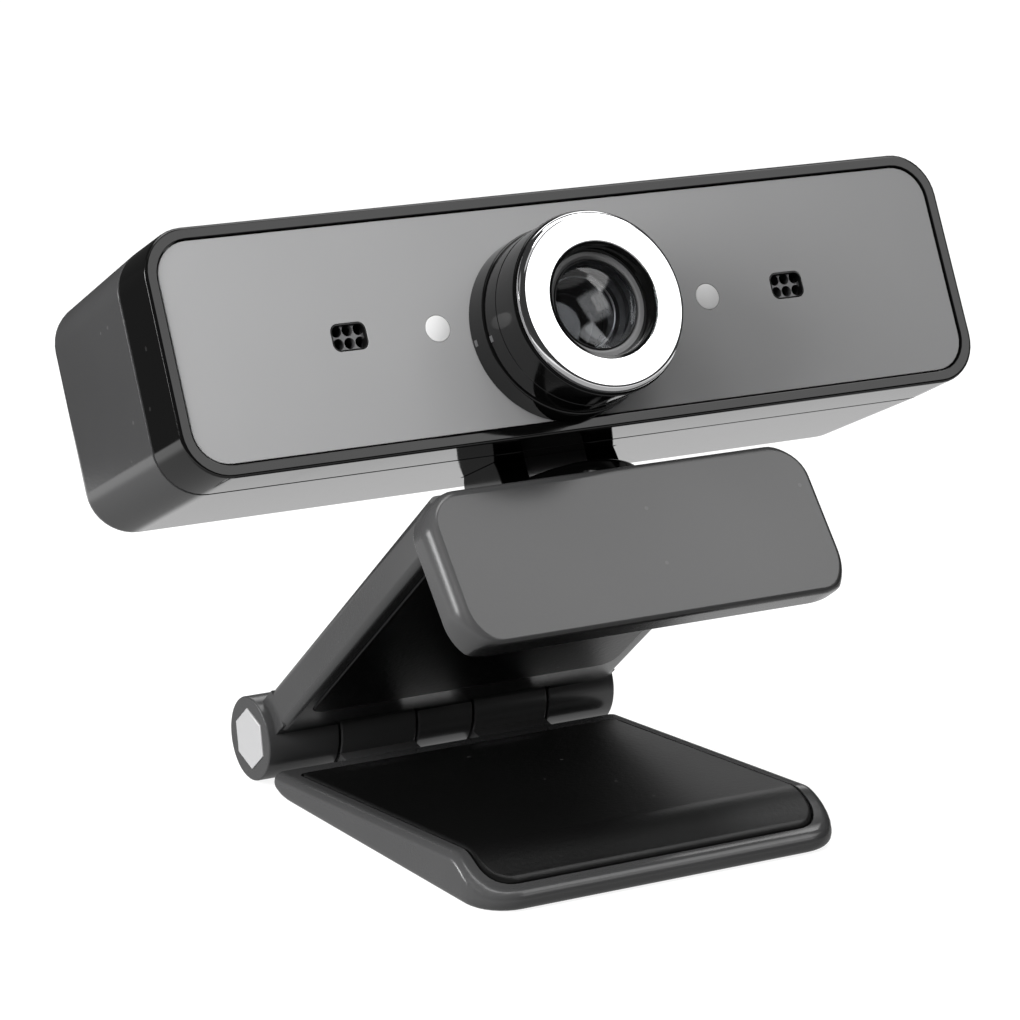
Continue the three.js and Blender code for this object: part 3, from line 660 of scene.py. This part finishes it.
class WebcamClipSizes(bpy.types.PropertyGroup):
    leaf_width: length("Lower leaf width", "Width of the lower leaf", 46.6)
    arm_width: length("Upper leaf width", "Width of the upper leaf", 44.6)
    arm_thickness: length("Upper leaf thickness", "Thickness of the upper leaf", 4.8)
    lip_width: length("Lip width", "Width of the front lip", 48.6)
    knuckle: length("Knuckle radius", "Radius of the hinge knuckles", 4.95)
    plug: length("Plug radius", "Corner radius of the six-sided hinge plugs", 3.6)
    disc: length("Disc radius", "Radius of the turning disc on the upper leaf", 10.5)


class WebcamFinish(bpy.types.PropertyGroup):
    clip: colour("Clip", "Satin plastic of the clip", (0.039, 0.039, 0.0395))
    shell: colour("Shell", "Plastic of the rear shell", (0.034, 0.034, 0.0345))
    gloss: colour("Gloss", "Glossy black parts", (0.002, 0.002, 0.002))
    panel: colour("Panel", "Front panel", (0.24, 0.24, 0.242))
    rubber: colour("Rubber", "Rubber pads", (0.003, 0.003, 0.003))
    silver: colour("Silver", "Hinge plugs", (0.5, 0.5, 0.505))
    chrome: colour("Bright metal", "Front ring of the lens", (0.88, 0.88, 0.89))
    throat: colour("Throat", "Turned ledge round the front glass", (0.13, 0.13, 0.132))
    window: colour("Light windows", "Frosted windows over the lights", (0.55, 0.55, 0.55))
    mesh: colour("Microphone mesh", "Punched microphone covers", (0.13, 0.13, 0.133))


def strength(name, description, default):
    return bpy.props.FloatProperty(name=name, description=description, default=default, min=0)


class WebcamStudio(bpy.types.PropertyGroup):
    top: strength("Top", "Brightness of the round panel overhead", 7.2)
    key: strength("Key", "Brightness of the high front panel on the right", 5.3)
    right: strength("Right", "Brightness of the wide high panels on the right", 3.8)
    back: strength("Back", "Brightness of the panel behind on the right", 2.9)
    front: strength("Front", "Brightness of the low front panel", 2.6)
    left: strength("Left", "Brightness of the low panel behind on the left", 0.35)
    strip: strength("Strip", "Brightness of the small panel low behind on the left", 17.0)
    fill: strength("Fill", "Brightness of the room", 0.05)
    lamps: strength("Lamps", "Strength of the soft lamps close by", 1.0)
    sheet: strength("Sheet", "How brightly the floor near the webcam shines back at it", 1.0)
    focal: bpy.props.FloatProperty(name="Focal length", description="Focal length of the camera",
                                   default=148.2, min=1, unit="CAMERA")


# ---------------------------------------------------------------- operators
class Maker(bpy.types.Operator):
    """Shared base of the builders."""

    bl_options = {"REGISTER", "UNDO"}

    def execute(self, context):
        scene = context.scene
        self.bar = millimetres(scene.webcam_bar)
        self.lens = millimetres(scene.webcam_lens)
        self.clip = millimetres(scene.webcam_clip)
        self.make(context)
        return {"FINISHED"}


class WEBCAM_OT_rear_shell(Maker):
    """Makes the rear shell of the camera bar, with its tilt knuckle"""

    bl_idname = "webcam.rear_shell"
    bl_label = "Rear shell"

    def make(self, context):
        bar = self.bar
        seam, draft, wall = 7.5, 0.026, 1.8  # where the shell starts, its taper, its back wall
        pin_y, pin_z = 16.0, -15.3
        posts = [(x, z) for x in (-42, 42) for z in (-6.2, 6.2)]  # for the board's screws
        shell = slab(bar["width"], bar["height"], seam, bar["depth"], bar["corner"], steps=10)
        far = [v for v in shell.verts if v.co.y > bar["depth"] - NEAR]
        inset = 2 * draft * (bar["depth"] - seam)
        bmesh.ops.scale(shell, verts=far,
                        vec=(1 - inset / bar["width"], 1, 1 - inset / bar["height"]))
        rim(shell, 1, bar["depth"], 2.4, 7)
        rim(shell, 1, seam, 0.14, 2)
        tongue = slab(96.2, 23.2, 5.6, 9, 3.5)
        cavity = slab(94.8, 22.2, 4, bar["depth"] - wall, 3.2, rims=((0, 1), (0.8, 3)))
        block = slab(19.4, 3.6, 9.6, 22.4, centre=(0, -10.8))
        bosses = together(rod("Y", 2.6, 14.5, 27.6, x, z, 32) for x, z in posts)
        shell = joined(cut(joined(shell, tongue), cavity), block, bosses)
        pockets = together(rod("X", 4.6, x0, x1, pin_y, pin_z) for x0, x1 in both(3.9, 7.9))
        web = slab(7.8, 6.1, 12.1, 19.9, centre=(0, -12.25))
        knuckle = rod("X", 3.9, -3.9, 3.9, pin_y, pin_z, rounding=0.1)
        shell = joined(cut(shell, pockets), knuckle, web)
        shell = cut(
            shell,
            rod("X", PIN_BORE, -10, 10, pin_y, pin_z, 32),
            rod("Y", 2.7, 26, 31, 0, -3, 48),  # where the cable grommet sits
            together(rod("Y", 1.25, 13, 21, x, z, 24) for x, z in posts),
        )
        piece(shell, "bar_shell", "bar", "bar_plastic", ["rear_shell"])


def row(bar, spacing, lift=0.0):
    """Middles of a pair of features on the front, left then right."""
    return [(-bar["row_x"] + side * spacing, -bar["row_z"] + lift) for side in (-1, 1)]


class WEBCAM_OT_front_band(Maker):
    """Makes the glossy front band and the panel set into it"""

    bl_idname = "webcam.front_band"
    bl_label = "Front band and panel"

    def make(self, context):
        bar = self.bar
        lights, mics = row(bar, bar["light_x"]), row(bar, bar["mic_x"], 0.25)
        recess_w, recess_h = bar["panel_width"] + 0.36, bar["panel_height"] + 0.36
        band = slab(bar["width"], bar["height"], 0, bar["band_depth"], bar["corner"], steps=10,
                    rims=((0.34, 3), (0.14, 2)))
        band = cut(
            band,
            slab(recess_w, recess_h, -1, 1.3, bar["panel_corner"] + 0.18),
            slab(bar["width"] - 3.6, bar["height"] - 3.6, 3.2, 20, 3.6),
        )
        rim(band, 1, 0, 0.1, 2, lambda co: abs(co.x) < recess_w / 2 + 0.02
            and abs(co.z) < recess_h / 2 + 0.02)
        band = cut(
            band,
            rod("Y", 9.6, -1, 20, LENS.x, LENS.z),
            together(rod("Y", 1.7, -1, 20, x, z, 32) for x, z in lights),
            together(slab(6.1, 4.6, -1, 20, 0.7, centre=spot, steps=4) for spot in mics),
        )
        piece(band, "bar_band", "bar", "gloss_black", ["front_bezel"])
        panel = slab(bar["panel_width"], bar["panel_height"], 0.2, 1.2, bar["panel_corner"],
                     rims=((0.1, 2), (0, 1)))
        panel = cut(
            panel,
            rod("Y", 9.3, -1, 5, LENS.x, LENS.z),
            together(rod("Y", 1.5, -1, 5, x, z, 48) for x, z in lights),
            together(slab(4.26, 3.06, -1, 5, 0.9, centre=spot, steps=6) for spot in mics),
        )
        rim(panel, 1, 0.2, 0.06, 2, lambda co: abs(co.x) < 33 and abs(co.x - LENS.x) > 12)
        piece(panel, "bar_panel", "bar", "panel_grey", ["front_panel"])


class WEBCAM_OT_microphones(Maker):
    """Makes the punched covers of the two microphones"""

    bl_idname = "webcam.microphones"
    bl_label = "Microphone covers"

    def make(self, context):
        for side, (x, z) in zip(("left", "right"), row(self.bar, self.bar["mic_x"], 0.25)):
            middle = (x, z)
            cover = joined(slab(5.5, 4.0, 1.3, 2.1, 0.7, centre=middle, steps=4),
                           slab(3.86, 2.66, 0.75, 1.7, 0.7, centre=middle, steps=5))
            holes = together(rod("Y", 0.63, 0, 5, x + 0.12 + 1.32 * i, z + 0.1 + 1.4 * j, 24)
                             for i in (-1, 0, 1) for j in (-0.5, 0.5))
            piece(cut(cover, holes), f"microphone_cover_{side}", "bar", "mesh_grey",
                  [f"mic_mesh_{side}"])
            # Painted shade: a near-black rubber lining fills the gap round each cover, standing in
            # for the shade on the opening's walls.
            shade_lining = cut(slab(4.22, 3.02, 0.24, 1.28, 0.88, centre=middle, steps=6,
                                rims=((0.06, 2), (0, 1))),
                           slab(3.9, 2.7, -1, 3, 0.72, centre=middle, steps=6))
            piece(shade_lining, f"microphone_shade_lining_{side}", "bar", "rubber")


class WEBCAM_OT_lights(Maker):
    """Makes the frosted windows of the two lights"""

    bl_idname = "webcam.lights"
    bl_label = "Light windows"

    def make(self, context):
        for side, spot in zip(("left", "right"), row(self.bar, self.bar["light_x"])):
            window = turned(
                [(0, 0.19), (1.46, 0.2, 0.05), (1.46, 1.3), (1.4, 1.4), (1.4, 11.5), (0, 11.5)],
                centre=spot, steps=48,
            )
            piece(window, f"light_window_{side}", "bar", "light_window", [f"light_pipe_{side}"])


class WEBCAM_OT_lens_rings(Maker):
    """Makes the collar, the focus ring, the bright front ring and the turned throat"""

    bl_idname = "webcam.lens_rings"
    bl_label = "Lens rings"

    def make(self, context):
        size = self.lens
        collar, ring, bright, throat = (size[k] for k in ("collar", "ring", "chrome", "throat"))
        face = LENS.y
        piece(
            turned([(7.7, 3.2), (9.0, 3.2), (9.0, 0.1), (collar, 0.1), (collar, -3.0, 0.25),
                    (7.7, -3.0)]),
            "lens_collar", "bar", "gloss_black", ["barrel_collar"],
        )
        piece(
            turned([(7.7, -3.06), (ring, -3.06, 0.06), (ring, -5.6, 0.03), (ring - 0.05, -5.65),
                    (ring - 0.05, -7.95), (ring, -8.0, 0.03), (ring, face + 1.22, 0.15),
                    (9.5, face + 1.15), (9.3, face + 1.2), (7.9, face + 1.2), (7.9, face + 3.7),
                    (7.7, face + 3.7)]),
            "focus_grip", "focus", "gloss_black", ["focus_ring"],
        )
        piece(
            turned([(9.6, face + 1.05), (bright, face + 1.05, 0.1), (bright, face + 0.5, 0.25),
                    (bright - 0.45, face, 0.2), (throat, face, 0.12), (throat, face + 0.9),
                    (9.6, face + 0.9)], steps=128),
            "bright_ring", "focus", "chrome", ["chrome_ring"],
        )
        # Painted shade: the steep wall of the turned cup is near-black gloss while its ledge is
        # grey, standing in for the shade the wall shows in the throat.
        piece(
            turned([(throat - 0.03, face + 0.12), (throat - 0.03, face + 1.77),
                    (5.78, face + 1.77), (5.98, face + 0.82, 0.04), (6.12, face + 0.76, 0.04),
                    (6.17, face + 0.16)], steps=128),
            "throat_wall", "focus", "gloss_black",
        )
        piece(
            turned([(5.3, face + 1.8, 0.1), (7.6, face + 1.8), (7.6, face + 2.1),
                    (5.05, face + 2.1), (5.05, face + 1.9)], steps=128),
            "throat_ledge", "focus", "cup_grey", ["lens_cup"],
        )
        for name, body, radius, start, end, angle in (
            ("collar_mark", "bar", collar, -0.85, -0.3, 184.5),
            ("focus_mark", "focus", ring, -3.75, -3.2, 186.5),
        ):
            mark = turned([(radius - 0.1, start), (radius + 0.03, start), (radius + 0.03, end),
                           (radius - 0.1, end)], centre=(0, 0), steps=360)
            keep = slab(3, 0.7, start - 1, end + 1, centre=(radius, 0))
            mark = combined(mark, keep, "INTERSECT")
            turn = Matrix.Rotation(math.radians(-angle), 4, "Y")
            place = Matrix.Translation((LENS.x, 0, LENS.z))
            piece(moved(mark, place @ turn), name, body, "mesh_grey")


def dome(radius, edge, rise, back, steps=10):
    """Profile of a lens with a bulging front: edge is where its rim starts."""
    ball = (radius**2 + rise**2) / (2 * rise)
    reach = math.asin(radius / ball)
    front = [(ball * math.sin(reach * i / steps),
              edge - rise + ball * (1 - math.cos(reach * i / steps))) for i in range(steps + 1)]
    front[0] = (0, edge - rise)
    return front + [(radius, back), (0, back)]


class WEBCAM_OT_lens_tube(Maker):
    """Makes the sliding lens tube with its glasses and stops"""

    bl_idname = "webcam.lens_tube"
    bl_label = "Lens tube"

    def make(self, context):
        tube, face = self.lens["tube"], LENS.y
        piece(
            turned([(tube, face + 1.75, 0.08), (tube, face + 3.1), (5.9, face + 3.2, 0.1),
                    (5.9, 7.9), (3.4, 7.9), (3.4, 6.9), (4.6, 6.9), (4.6, 3.9), (2.6, 3.9),
                    (2.6, face + 7.4), (3.2, face + 7.2), (3.2, face + 6.5), (3.75, face + 6.4),
                    (3.75, face + 5.5), (4.3, face + 5.4), (4.3, face + 4.2), (4.86, face + 4.1),
                    (4.86, face + 1.75)]),
            "lens_tube", "lens", "chip_black", ["lens_barrel"],
        )
        piece(turned(dome(4.83, face + 1.95, 1.15, face + 3.3)), "front_glass", "lens", "glass",
              ["front_lens"])
        piece(turned([(3.35, face + 5.48), (3.35, face + 5.34, 0.05), (3.2, face + 5.34, 0.05),
                      (3.2, face + 5.48)]), "stop_ring", "lens", "steel")
        # Painted shade: the inner glass is opaque gloss black, standing in for the dark inside of
        # the lens seen through it.
        piece(turned(dome(2.95, face + 6.6, 0.7, face + 7.15)), "inner_glass", "lens",
              "gloss_black")


class WEBCAM_OT_lower_leaf(Maker):
    """Makes the lower leaf of the clip and its rubber pad"""

    bl_idname = "webcam.lower_leaf"
    bl_label = "Lower leaf"

    front, wall_y, back = -31.7, -25.6, 17.5
    tall = 5.38  # height of the leaf where its walls start to dip
    fall = 0.0587  # how much lower the top is for each millimetre further back
    rim_height = 2.4  # height of its front rim
    recess_back = 14.4
    edge = 1.9  # width of the rim round the rubber

    def drop(self, y, lowest):
        """How far the top lies below its tallest place: a slope to the back, a dip at the front."""
        slope = (y - self.wall_y) * self.fall
        share = eased((y - self.front - 1.0) / 7.2)
        return slope * share + (self.tall - lowest) * (1 - share)

    def bent(self, bm, low, high, lowest=rim_height):
        """Lowers what lies between two heights by the drop of the leaf's top."""
        for i in range(16):
            self.sliced(bm, self.front + 1.2 + 0.47 * i)
        for v in bm.verts:
            if low - NEAR < v.co.z < high + NEAR:
                v.co.z -= self.drop(v.co.y, lowest)
        return bm

    @staticmethod
    def sliced(bm, y):
        bmesh.ops.bisect_plane(bm, geom=bm.verts[:] + bm.edges[:] + bm.faces[:], dist=MERGE,
                               plane_co=(0, y, 0), plane_no=(0, 1, 0))

    def plan(self, width, front, back, low, high, corners, rims):
        return slab(width, back - front, low, high, *corners, centre=(0, (front + back) / 2),
                    way=FLAT, rims=rims, steps=8)

    def make(self, context):
        width, knuckle = self.clip["leaf_width"], self.clip["knuckle"]
        front, back, tall, edge = self.front, self.back, self.tall, self.edge
        pin_y, pin_z = 22.5, 5.4
        heel = 4.2  # length over which the underside curves up at the back
        leaf = self.plan(width, front, back, 0, tall, (5, 1.4), ((1.2, 5), (1.1, 5)))
        leaf = self.bent(leaf, 2, tall)
        for i in range(7):
            self.sliced(leaf, back - heel + 0.5 * i)
        for v in leaf.verts:
            if v.co.z < 1.21 and v.co.y > back - heel:
                v.co.z += 2.0 * ((v.co.y - back + heel) / heel) ** 3 * (1 - v.co.z / 2)
        recess_front, recess_back = front + edge, self.recess_back
        inner = width - 2 * edge
        recess = self.plan(inner, recess_front, recess_back, tall - 1.3, 12, (3.4, 1.2), NO_RIMS)
        leaf = cut(leaf, self.bent(recess, tall - 1.4, tall))
        top_back = tall - self.drop(back, self.rim_height)
        knuckles = []
        for x0, x1 in both(3.95, 13.85):
            web = cutout(
                [(back - 2.5, 1.0), (pin_y - 3.2, 1.5), (pin_y - 1, 1.4), (pin_y - 2, 4.4),
                 (pin_y - 4.6, 3.2), (back - 1.5, top_back - 0.1), (back - 2.5, top_back - 0.1)],
                x0, x1,
            )
            barrel = rod("X", knuckle, x0, x1, pin_y, pin_z, rounding=0.2)
            bore = rod("X", PIN_BORE, -30, 30, pin_y, pin_z, 32)
            knuckles.append(cut(joined(barrel, web), bore))
        piece(together([leaf, *knuckles]), "clip_lower_leaf", "base", "satin_plastic",
              ["lower_leaf"])
        gap, proud = 0.3, 0.2
        pad = self.plan(inner - 2 * gap, recess_front + gap, recess_back - gap, tall - 1.1,
                        tall + proud, (3.1, 0.9), ((0, 1), (0.45, 4)))
        pad = self.bent(pad, 0, 9, self.rim_height + 0.3)
        piece(pad, "clip_desk_pad", "base", "rubber", ["base_pad"])


class WEBCAM_OT_upper_leaf(Maker):
    """Makes the upper leaf of the clip with its lip, pads and hinge plugs"""

    bl_idname = "webcam.upper_leaf"
    bl_label = "Upper leaf"

    @staticmethod
    def lip(wide, foot, head, front, back):
        """The front lip. Its soft rim reaches far back at the sides and is tight at the foot."""
        across, deep, tight, corner, dip = 1.1, 2.6, 0.45, 4.2, 0.6
        bm = slab(wide, head - foot, front, back, corner, 4.5, centre=(0, (head + foot) / 2),
                  rims=((across, 7), (0.35, 3)), steps=12)
        for v in bm.verts:
            if v.co.y < front + across + NEAR:
                side = eased((abs(v.co.x) - wide / 2 + corner) / (corner - across))
                v.co.y = front + (v.co.y - front) * (1 + side * (deep / across - 1))
            above = v.co.z - foot
            if above < corner:
                if above < across:
                    above *= tight / across
                else:
                    above = corner - (corner - above) * (corner - tight) / (corner - across)
                fall = dip * (back - v.co.y) / (back - front) * (1 - above / corner)
                v.co.z = foot + above - fall
        return bm

    def make(self, context):
        clip = self.clip
        width, thick, knuckle = clip["arm_width"], clip["arm_thickness"], clip["knuckle"]
        top = 2.8  # above the hinge's axis
        low = top - thick
        middle = (top + low) / 2
        turn_y, recess_y, lip_z = -42.2, -30.525, -8.3  # turning disc, pad recess, lip's middle
        arm = slab(width, thick, -55.1, -5.55, 0.9, centre=(0, middle), steps=5,
                   rims=((0, 1), (0.4, 2)))
        leaf = joined(arm, self.lip(clip["lip_width"], -15, top - 0.02, -56.7, -52.2))
        for x0, x1 in ((-23.3, -14.15), (-3.65, 3.65), (14.15, 23.3)):
            w0, w1 = max(x0, -width / 2), min(x1, width / 2)
            web = slab(w1 - w0, thick - 0.3, -7.05, -1.5, centre=((w0 + w1) / 2, middle + 0.05))
            barrel = rod("X", knuckle, x0, x1, 0, 0, rounding=0.2)
            leaf = joined(leaf, joined(barrel, web))
        leaf = cut(
            leaf,
            rod("X", PIN_BORE, -30, 30, 0, 0, 32),
            together(hexagon(clip["plug"] + 0.08, x0, x1) for x0, x1 in both(20.7, 25)),
            slab(40.8, 40.95, low - 1, -0.7, 2, centre=(0, recess_y), way=FLAT),
            slab(39.8, 9.4, -53.1, -51, 1.8, centre=(0, lip_z)),
            rod("Z", 3.3, low - 1, top + 1, 0, turn_y, 48),
            rod("Z", 6.4, -1.2, 1.3, 0, turn_y, 48),
        )
        piece(leaf, "clip_upper_leaf", "arm", "satin_plastic", ["upper_leaf"])
        piece(slab(40.6, 40.75, low - 0.15, -0.9, 1.9, centre=(0, recess_y), way=FLAT,
                   rims=((0.25, 3), (0, 1))),
              "clip_screen_pad", "arm", "rubber", ["arm_pad"])
        piece(slab(39.6, 9.2, -53.0, -51.4, 1.7, centre=(0, lip_z), rims=((0, 1), (0.35, 3))),
              "clip_lip_pad", "arm", "rubber", ["lip_pad"])
        for side, (x0, x1) in zip(("right", "left"), both(20.9, 23.42)):
            piece(hexagon(clip["plug"], x0, x1, 0.15), f"hinge_plug_{side}", "arm", "hex_silver",
                  [f"hex_cap_{side}"])


class WEBCAM_OT_turret(Maker):
    """Makes the turning disc with the two cheeks that hold the bar"""

    bl_idname = "webcam.turret"
    bl_label = "Turning disc and cheeks"

    def make(self, context):
        disc = self.clip["disc"]
        pin_z, cheek_round = 5.9, 4.3
        yoke = turned([(0, -3.45), (3.0, -3.45, 0.2), (3.0, 0.12), (disc, 0.12, 0.15),
                       (disc, 2.9, 0.55), (0, 2.9)], centre=(0, 0), axis="Z")
        yoke = cut(yoke, rod("X", 4.5, -4.1, 4.1, 0, pin_z))
        for x0, x1 in both(4.1, 7.7):
            cheek = slab(2 * cheek_round, pin_z + cheek_round - 1, x0, x1, 0,
                         cheek_round - 0.01, centre=(0, (pin_z + cheek_round + 1) / 2),
                         way=SIDEWAYS, rims=((0.25, 3), (0.25, 3)), steps=16)
            yoke = joined(yoke, cheek)
        yoke = cut(yoke, rod("X", 1.6, -7.45, 7.45, 0, pin_z, 32))
        piece(yoke, "turning_yoke", "turret", "gloss_black", ["swivel_yoke"])


class WEBCAM_OT_cable_outlet(Maker):
    """Makes the rubber grommet at the back where a lead would leave"""

    bl_idname = "webcam.cable_outlet"
    bl_label = "Cable outlet"

    def make(self, context):
        grommet = turned(
            [(1.7, 25.3, 0.2), (3.4, 25.3, 0.3), (3.4, 26.9), (2.5, 27.1), (2.5, 29.1),
             (3.7, 29.1, 0.25), (3.7, 30.2, 0.3), (3.1, 31.2, 0.4), (1.7, 31.2, 0.25)],
            centre=(0, -3), steps=64,
        )
        piece(grommet, "cable_grommet", "bar", "rubber", ["cable_gland"])


class WEBCAM_OT_inner_parts(Maker):
    """Gives the pins, screws, board and other inner parts their finishes"""

    bl_idname = "webcam.inner_parts"
    bl_label = "Inner parts"

    def make(self, context):
        slots = {
            "steel": ["hinge_pin", "tilt_pin", "swivel_washer", "swivel_nut", "microphone_left",
                      "microphone_right", *(f"board_screw_{i}" for i in (1, 2, 3, 4))],
            "nylon_white": ["led_left", "led_right", "cable_connector"],
            "board_green": ["main_board"],
            "sensor_glass": ["image_sensor"],
            "chip_black": ["processor_chip", "lens_holder"],
            "glass": ["rear_lens"],
        }
        for slot, nodes in slots.items():
            for node in nodes:
                carried(node, slot)


class WEBCAM_OT_studio(Maker):
    """Makes the floor, the light and the camera"""

    bl_idname = "webcam.studio"
    bl_label = "Studio"

    def make(self, context):
        self.floor()
        self.light(context.scene.webcam_studio)
        self.camera(context)

    def floor(self):
        bm = bmesh.new()
        bmesh.ops.create_grid(bm, x_segments=1, y_segments=1, size=3.0,
                              matrix=Matrix.Translation((0, 0, -0.00006)))
        mesh = bpy.data.meshes.new("floor")
        bm.to_mesh(mesh)
        bm.free()
        floor = bpy.data.objects.new("floor", mesh)
        bpy.context.scene.collection.objects.link(floor)
        mesh.materials.append(self.paper(bpy.context.scene.webcam_studio.sheet))

    def paper(self, sheet):
        """White paper that looks evenly lit, and lights the webcam most from close by."""
        material, tree, shader, place = base_material("floor_white")
        path = tree.nodes.new("ShaderNodeLightPath").outputs
        away, behind = (
            add(tree, "ShaderNodeVectorMath", {"operation": "DISTANCE"}, i0=place,
                i1=middle).outputs["Value"]
            for middle in ((0, 0, 0), (0.045, 0.06, 0))
        )
        shine = maths(tree, "MULTIPLY", ramp(tree, away, 0.11, 0.14, 0.42, 1.0),
                      ramp(tree, away, 0.18, 0.2, 1.0, 0.05))
        shine = maths(tree, "MAXIMUM", shine, ramp(tree, behind, 0.06, 0.085, 0.92, 0.0))
        near = ramp(tree, away, 0.05, 0.07, 1.0, 0.0)
        light = maths(tree, "MULTIPLY", path["Is Camera Ray"], 0.88)
        light = maths(tree, "MULTIPLY_ADD", path["Is Glossy Ray"],
                      maths(tree, "MULTIPLY", shine, sheet), light)
        light = maths(tree, "MULTIPLY_ADD", path["Is Diffuse Ray"],
                      maths(tree, "MULTIPLY", near, sheet), light)
        fibre = add(tree, "ShaderNodeTexNoise", Vector=place, Scale=800.0)
        seen = maths(tree, "MULTIPLY", path["Is Camera Ray"],
                     between(tree, fibre.outputs[0], 0.9, 1.1))
        tree.links.new(shade(tree, seen, (0.0,) * 3, (0.25,) * 3), shader.inputs["Base Color"])
        tree.links.new(shade(tree, light, (0.0,) * 3, (1.0,) * 3),
                       shader.inputs["Emission Color"])
        shader.inputs["Emission Strength"].default_value = 1.0
        shader.inputs["Roughness"].default_value = 0.9
        shader.inputs["Specular IOR Level"].default_value = 0.0
        return material

    def light(self, studio):
        """A room of soft panels painted on the world by azimuth, right of the front, and height."""
        world = bpy.data.worlds.new("studio")
        bpy.context.scene.world = world
        world.use_nodes = True
        tree = world.node_tree
        tree.nodes.clear()
        way = tree.nodes.new("ShaderNodeTexCoord").outputs["Generated"]
        part = add(tree, "ShaderNodeSeparateXYZ", i0=way)
        azimuth = maths(tree, "ARCTAN2", part.outputs[0],
                        maths(tree, "MULTIPLY", part.outputs[1], -1.0))
        height = maths(tree, "ARCSINE", part.outputs[2])

        def window(value, low, high, soft=2):
            """1 between low and high degrees, with soft edges, and 0 elsewhere."""
            start, full, wane, end = (math.radians(edge) for edge in (
                low - soft, low + soft, high - soft, high + soft))
            return maths(tree, "MULTIPLY", ramp(tree, value, start, full),
                         ramp(tree, value, wane, end, 1.0, 0.0))

        total = studio.fill
        dim_ceiling = 0.68
        # brightness, from and to azimuth, from and to height, in degrees
        panels = [
            (studio.top, (-190, 190), (78, 95)),
            (studio.key, (46, 60), (40, 58)),
            (studio.right, (60, 190), (58, 78)),
            (studio.right * 0.8, (60, 90), (40, 58)),
            (studio.back, (130, 190), (24, 40)),
            (studio.front, (26, 47), (24, 41)),
            (dim_ceiling, (-60, 60), (58, 78)),
            (studio.left, (-120, -98), (24, 40)),
            (studio.strip, (-131, -114), (-6, 14)),
        ]
        for bright, across, up in panels:
            patch = maths(tree, "MULTIPLY", window(azimuth, *across), window(height, *up))
            total = maths(tree, "MULTIPLY_ADD", patch, bright, total)
        tone = 0.8
        seen = tree.nodes.new("ShaderNodeLightPath").outputs["Is Camera Ray"]
        total = maths(tree, "MAXIMUM", total, maths(tree, "MULTIPLY", seen, 1 / tone))
        shine = add(tree, "ShaderNodeBackground", Color=(tone, tone, tone, 1), Strength=total)
        out = tree.nodes.new("ShaderNodeOutputWorld")
        tree.links.new(shine.outputs[0], out.inputs[0])
        bpy.context.scene.view_settings.view_transform = "Standard"
        # watts and place of the soft lamps on the left, in millimetres
        lamps = (
            (1.35, (-250, -60, 145)), (0.38, (-160, -80, 260)), (0.13, (-60, -220, 240)),
        )
        for number, (watts, place) in enumerate(lamps, 1):
            data = bpy.data.lights.new(f"lamp_{number}", "AREA")
            data.energy = watts * studio.lamps
            data.size = 0.14
            lamp = bpy.data.objects.new(data.name, data)
            bpy.context.scene.collection.objects.link(lamp)
            lamp.location = Vector(place) * MM
            self.aim(lamp, Vector((0, 0, 55)) * MM)
            lamp.visible_camera = False
            lamp.visible_glossy = False

    def camera(self, context):
        data = bpy.data.cameras.new("camera")
        data.lens = context.scene.webcam_studio.focal
        data.sensor_width = 36
        data.clip_start, data.clip_end = 0.01, 20
        camera = bpy.data.objects.new("camera", data)
        context.scene.collection.objects.link(camera)
        target = Vector((-0.4, 2.06, 34.20)) * MM
        camera.location = Vector((-233.00, -393.00, 150.39)) * MM
        self.aim(camera, target)
        context.scene.camera = camera

    @staticmethod
    def aim(thing, target):
        thing.rotation_mode = "QUATERNION"
        thing.rotation_quaternion = (target - thing.location).to_track_quat("-Z", "Y")


PIECES = (
    WEBCAM_OT_studio,
    WEBCAM_OT_rear_shell,
    WEBCAM_OT_front_band,
    WEBCAM_OT_microphones,
    WEBCAM_OT_lights,
    WEBCAM_OT_lens_rings,
    WEBCAM_OT_lens_tube,
    WEBCAM_OT_lower_leaf,
    WEBCAM_OT_upper_leaf,
    WEBCAM_OT_turret,
    WEBCAM_OT_cable_outlet,
    WEBCAM_OT_inner_parts,
)


class WEBCAM_PT_build(bpy.types.Panel):
    """Lists the sizes and the builders"""

    bl_idname = "WEBCAM_PT_build"
    bl_label = "Bar webcam"
    bl_space_type = "VIEW_3D"
    bl_region_type = "UI"
    bl_category = "Webcam"

    def draw(self, context):
        for name in SETTINGS:
            group = getattr(context.scene, name)
            box = self.layout.box()
            for key in group.__annotations__:
                box.prop(group, key)
        for maker in PIECES:
            self.layout.operator(maker.bl_idname)


SETTINGS = {
    "webcam_bar": WebcamBarSizes,
    "webcam_lens": WebcamLensSizes,
    "webcam_clip": WebcamClipSizes,
    "webcam_finish": WebcamFinish,
    "webcam_studio": WebcamStudio,
}


def register():
    for group in SETTINGS.values():
        bpy.utils.register_class(group)
    for name, group in SETTINGS.items():
        setattr(bpy.types.Scene, name, bpy.props.PointerProperty(type=group))
    for maker in PIECES:
        bpy.utils.register_class(maker)
    bpy.utils.register_class(WEBCAM_PT_build)


def unregister():
    bpy.utils.unregister_class(WEBCAM_PT_build)
    for maker in reversed(PIECES):
        bpy.utils.unregister_class(maker)
    for name in SETTINGS:
        delattr(bpy.types.Scene, name)
    for group in reversed(SETTINGS.values()):
        bpy.utils.unregister_class(group)


def main():
    register()
    for maker in PIECES:
        getattr(bpy.ops.webcam, maker.bl_idname.split(".")[1])()


if __name__ == "__main__":
    main()
